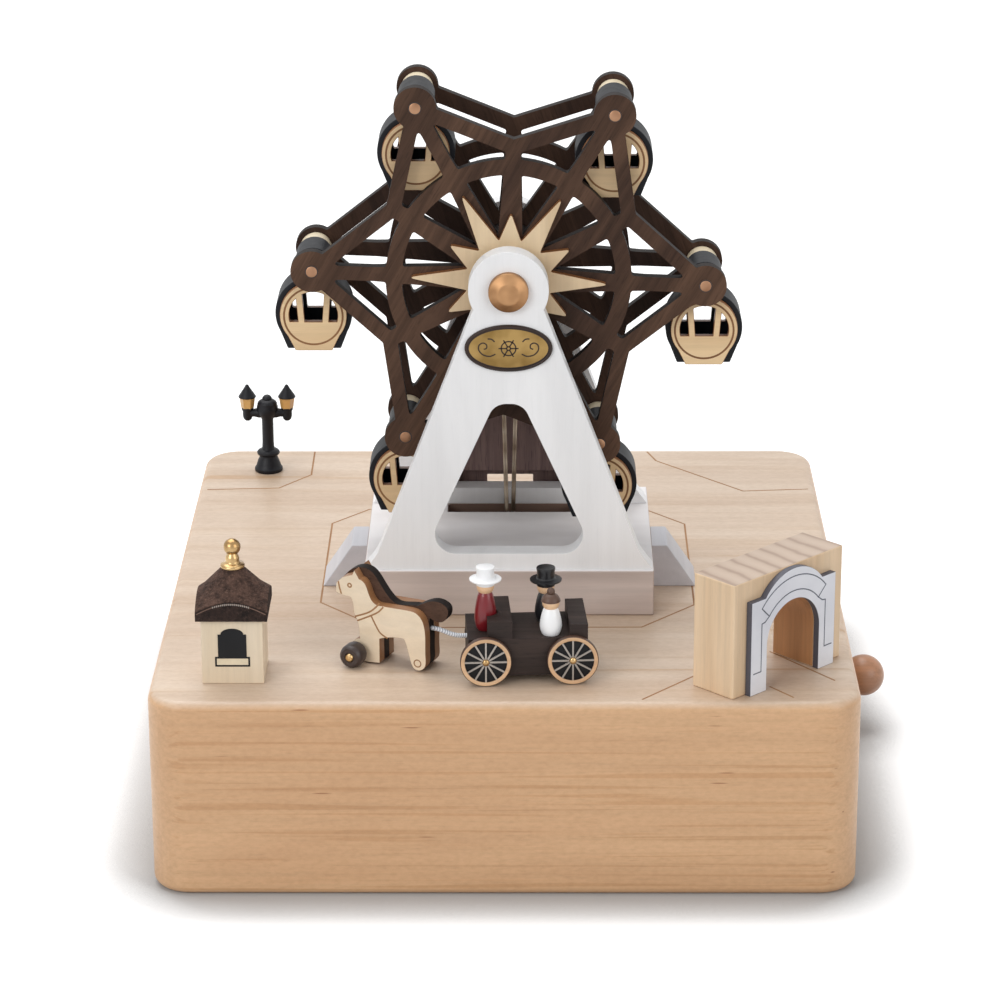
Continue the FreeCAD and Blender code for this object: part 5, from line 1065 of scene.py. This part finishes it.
# ------------------------------------------------------------------ park buildings
def booth():
    """Ticket booth: blind arched window over an outlined sill, cork roof, brass finial."""
    node = "booth_body"
    eased(node, "plain_maple", 0.25)
    low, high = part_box(node)
    centre = (low + high) / 2
    place = on_face((centre.x, low.y, low.z))
    half = 3.6
    sill = 7.3
    shoulder = 13.4
    step_in = 0.7
    bow = [(x * (half - step_in), shoulder + z * 1.6)
           for x, z in circle_points(1.0, steps=10, start=15.0, sweep=150.0)]
    arch = [(-half, sill), (half, sill), (half, shoulder), (half - step_in, shoulder), *bow,
            (step_in - half, shoulder), (-half, shoulder)]
    keep("booth_window", slab(arch, 0.12, place), node, "matt_black", False)
    ledge = [(-4.2, 4.9), (4.2, 4.9), (4.2, 7.1), (-4.2, 7.1)]
    keep("booth_sill", slab(ledge, 0.04, place), node, "spacer_maple", False)
    keep("booth_sill_line", drawn(0.45, place, loops=[ledge], proud=0.08), node, "matt_black",
         False)
    booth_roof(centre.x)
    booth_finial()


def booth_roof(middle_x):
    """Cork roof whose upright fascia is darker, with a stitched seam over its eave."""
    node = "booth_roof"
    tinted(eased(node, "roof_bark", 0.35, 3), "fascia_bark",
           lambda spot, normal: abs(normal.z) < 0.1)
    low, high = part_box(node)
    half = (high.x - low.x) / 2 / MM
    face = on_face((middle_x, low.y, low.z))

    def seam(across):
        return 1.95 + 0.734 * (half * math.sqrt(2.0) - math.hypot(half, across))
    eave = [(half * 0.96 * step / 16, seam(half * step / 16)) for step in range(-16, 17)]
    stitches = [[(across, seam(across) - 0.3), (across + 0.06, seam(across) + 0.18)]
                for across in (0.5 * step for step in range(-9, 10))]
    keep("roof_seam", drawn(0.24, face, [eave], proud=0.05), node, "seam_line", False)
    keep("roof_stitching", drawn(0.22, face, stitches, proud=0.09), node, "spoke_paint", False)


def booth_finial():
    """Turned brass foot and neck under a ball."""
    low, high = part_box("booth_finial")
    radius = 2.2
    profile = [(0.0, 0.0), (2.6, 0.0), (3.05, 0.18), (3.12, 0.55), (2.95, 0.9), (2.3, 1.1),
               (1.85, 1.35), (1.72, 1.75), (1.8, 2.3), (1.68, 2.9), (1.42, 3.35), (1.22, 3.75),
               (1.2, 4.1)]
    profile += ball(radius, (high.z - low.z) / MM - radius, 45.0, 12)
    spot = (low + high) / 2
    keep("brass_finial", spun(profile, Matrix.Translation((spot.x, spot.y, low.z)), 48, 50.0),
         "booth_finial", "turned_brass")


def lamp():
    """Turned black post with two arms; six-sided amber lanterns under pointed caps."""
    low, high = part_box("lamp_post")
    lanterns_low, lanterns_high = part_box("lamp_lanterns")
    base = Matrix.Translation(((low.x + high.x) / 2, (low.y + high.y) / 2, low.z))
    arm = (lanterns_high.x - lanterns_low.x) / 2 / MM - 2.1
    light = (lanterns_low.z - low.z) / MM
    tall = (lanterns_high.z - lanterns_low.z) / MM
    top = (high.z - low.z) / MM
    head = light + 0.8
    eave = light + tall
    post = [(0.0, 0.0), (3.9, 0.0), (4.1, 0.3), (4.1, 1.0), (3.7, 1.5), (3.45, 2.3), (3.1, 3.4),
            (2.65, 4.3), (2.6, 4.8), (3.1, 5.1), (3.35, 5.5), (3.3, 5.95), (2.9, 6.4),
            (2.0, 6.7), (1.8, 7.4), (1.7, 9.0)]
    post += [(wide, head + rise) for wide, rise in (
        (1.7, -4.4), (1.95, -3.7), (2.8, -2.6), (3.1, -1.6), (3.1, -0.4), (2.85, 0.3),
        (2.9, 0.55), (2.6, 1.1), (1.9, 1.6), (1.4, 1.8), (1.45, 2.1), (1.2, 2.6), (0.7, 3.0),
        (0.0, 3.1))]
    cup = [(wide, light + rise) for wide, rise in (
        (0.0, -3.9), (0.7, -3.9), (1.2, -3.4), (1.45, -2.4), (1.45, -1.0), (1.75, -0.5),
        (1.75, 0.02), (0.0, 0.02))]
    roof = [(wide, eave + rise) for wide, rise in (
        (0.0, 0.0), (2.5, 0.0), (2.6, 0.25), (2.45, 0.5), (1.6, 1.8), (0.8, 3.0))]
    roof += [(0.45, top - 0.3), (0.0, top)]
    bar = [(1.6, 0.0), (1.5, 2.6), (1.2, 3.8), (1.25, arm - 0.6), (0.0, arm - 0.2)]
    pane = [(0.0, 0.0), (1.85, 0.0), (2.3, tall), (0.0, tall)]
    iron = [spun(post, base, 40, 42.0)]
    glass = []
    for side in (-1, 1):
        foot = moved(base, (side * arm, 0, 0))
        iron += [spun(cup, foot, 32, 42.0), spun(roof, foot, 32, 42.0),
                 spun(bar, moved(base, (0, 0, light - 1.6), 90 * side, "Y"), 24, 60.0)]
        glass.append(spun(pane, moved(foot, (0, 0, light)), 6, 30.0))
    keep("lamp_post_turned", iron, "lamp_post", "lamp_black")
    keep("amber_lanterns", glass, "lamp_lanterns", "amber_paint")


def gate():
    """Gate of warm timber; its pale facing has one drawn line inside its edge."""
    along = Vector((-GATE_OUT.y, GATE_OUT.x, 0))
    low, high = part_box("gate_block")
    centre = (low + high) / 2
    centre.z = low.z
    deep = 13.6
    facing = 1.8
    tunnel_half = 10.2
    tunnel_tall = 22.4

    def in_tunnel(spot, normal):
        away = spot - centre / MM
        return (abs(away.dot(along)) < tunnel_half and 0.5 < away.z < tunnel_tall
                and normal.z < 0.5 and abs(normal.dot(GATE_OUT)) < 0.5)
    tinted(eased("gate_block", "gate_timber", 0.4), "tunnel_wood", in_tunnel)
    # stone_paint darkens the facing's edges as painted shade
    eased("gate_arch_facing", "stone_paint", 0.18)
    place = frame_at(centre + GATE_OUT * (deep / 2 + facing) * MM, -along, GATE_OUT)
    spring = (0.0, 12.1)
    left = [(-15.0, 5.8), (-12.1, 5.8), (-12.1, 18.6), (-10.9, 18.8), (-9.5, 19.85)]
    right = [(-x, z) for x, z in left]
    band = (circle_points(16.1, spring, 24, 41.0, 98.0)
            + circle_points(12.2, spring, 24, 140.0, -100.0))
    keep("gate_drawn_lines", drawn(0.3, place, [left, right], [band]), "gate_arch_facing",
         "ink_line", False)


# ------------------------------------------------------------------ studio
def floor_finish():
    """Pale floor that keeps the toy's shadow, darkest where little sky reaches it."""
    finish = bpy.data.materials.new("studio_floor")
    finish.use_nodes = True
    finish.node_tree.nodes.clear()
    nodes = Wiring(finish.node_tree)
    diffuse = nodes.add("ShaderNodeBsdfDiffuse", {"Color": (0.5, 0.5, 0.5, 1.0)})
    sky = nodes.add("ShaderNodeAmbientOcclusion", {"Distance": 0.024}, samples=8)
    open_sky = nodes.spread(sky.outputs["AO"], 0.68, 0.98, 0.0, 0.75)
    glow = nodes.add("ShaderNodeEmission", {
        "Color": (1.0, 1.0, 1.0, 1.0),
        "Strength": nodes.math("MULTIPLY", nodes.seen_directly(), open_sky)})
    both = nodes.add("ShaderNodeAddShader", {
        0: diffuse.outputs["BSDF"], 1: glow.outputs["Emission"]})
    nodes.add("ShaderNodeOutputMaterial", {"Surface": both.outputs["Shader"]})
    return finish


def studio_floor():
    work = bmesh.new()
    bmesh.ops.create_grid(work, x_segments=1, y_segments=1, size=6.0)
    mesh = bpy.data.meshes.new("studio_floor")
    work.to_mesh(mesh)
    work.free()
    mesh.materials.append(floor_finish())
    floor = bpy.data.objects.new("studio_floor", mesh)
    bpy.context.scene.collection.objects.link(floor)


def soft_room():
    """A soft cool light from all round, which is seen as plain white."""
    world = bpy.data.worlds.new("soft_room")
    bpy.context.scene.world = world
    world.use_nodes = True
    nodes = Wiring(world.node_tree)
    room = world.node_tree.nodes["Background"]
    nodes.put(room.inputs["Color"], (0.96, 0.98, 1.0, 1.0))
    nodes.put(room.inputs["Strength"], 0.45)
    white = nodes.add("ShaderNodeBackground", {"Color": (1.0, 1.0, 1.0, 1.0), "Strength": 1.0})
    choice = nodes.add("ShaderNodeMixShader", {
        0: nodes.seen_directly(), 1: room.outputs["Background"],
        2: white.outputs["Background"]})
    surface = world.node_tree.nodes["World Output"].inputs["Surface"]
    nodes.put(surface, choice.outputs["Shader"])


def lights():
    target = Vector((0.0, 0.0, 0.08))
    for name, place, size, power in (
            ("overhead", (-0.25, 0.35, 1.3), 1.1, 13.0),
            ("front_left", (-0.9, -1.1, 0.75), 0.8, 9.0),
            ("front_right", (1.0, -0.9, 0.6), 0.8, 5.0)):
        light_data = bpy.data.lights.new(name, "AREA")
        light_data.shape = "SQUARE"
        light_data.size = size
        light_data.energy = power
        light = bpy.data.objects.new(name, light_data)
        light.location = place
        light.rotation_euler = (target - Vector(place)).to_track_quat("-Z", "Y").to_euler()
        bpy.context.scene.collection.objects.link(light)


def camera():
    """Long lens a little above the toy, level to a fraction of a degree."""
    data = bpy.data.cameras.new("camera")
    data.sensor_width = 36.0
    data.lens = 130.15
    data.clip_start = 0.05
    camera_object = bpy.data.objects.new("camera", data)
    pitch, yaw, roll = (math.radians(angle) for angle in (19.882, -0.497, -0.186))
    ahead = Vector((math.sin(yaw) * math.cos(pitch), math.cos(yaw) * math.cos(pitch),
                    -math.sin(pitch)))
    right = Vector((math.cos(yaw), -math.sin(yaw), 0.0))
    up = right.cross(ahead)
    rolled_right = right * math.cos(roll) + up * math.sin(roll)
    rolled_up = up * math.cos(roll) - right * math.sin(roll)
    matrix = Matrix((rolled_right, rolled_up, -ahead)).transposed().to_4x4()
    matrix.translation = Vector((6.405, -928.824, 407.827)) * MM
    camera_object.matrix_world = matrix
    bpy.context.scene.collection.objects.link(camera_object)
    bpy.context.scene.camera = camera_object


def studio():
    """Pale floor and backdrop, three soft lights, and the camera."""
    bpy.context.scene.view_settings.view_transform = "Standard"
    studio_floor()
    soft_room()
    lights()
    camera()


timbers()
paints()
metals()
case_and_platform()
plaque()
axle_caps()
wheel()
for count in GONDOLAS:
    gondola(count)
crank()
works()
horse()
cart()
booth()
lamp()
gate()
studio()
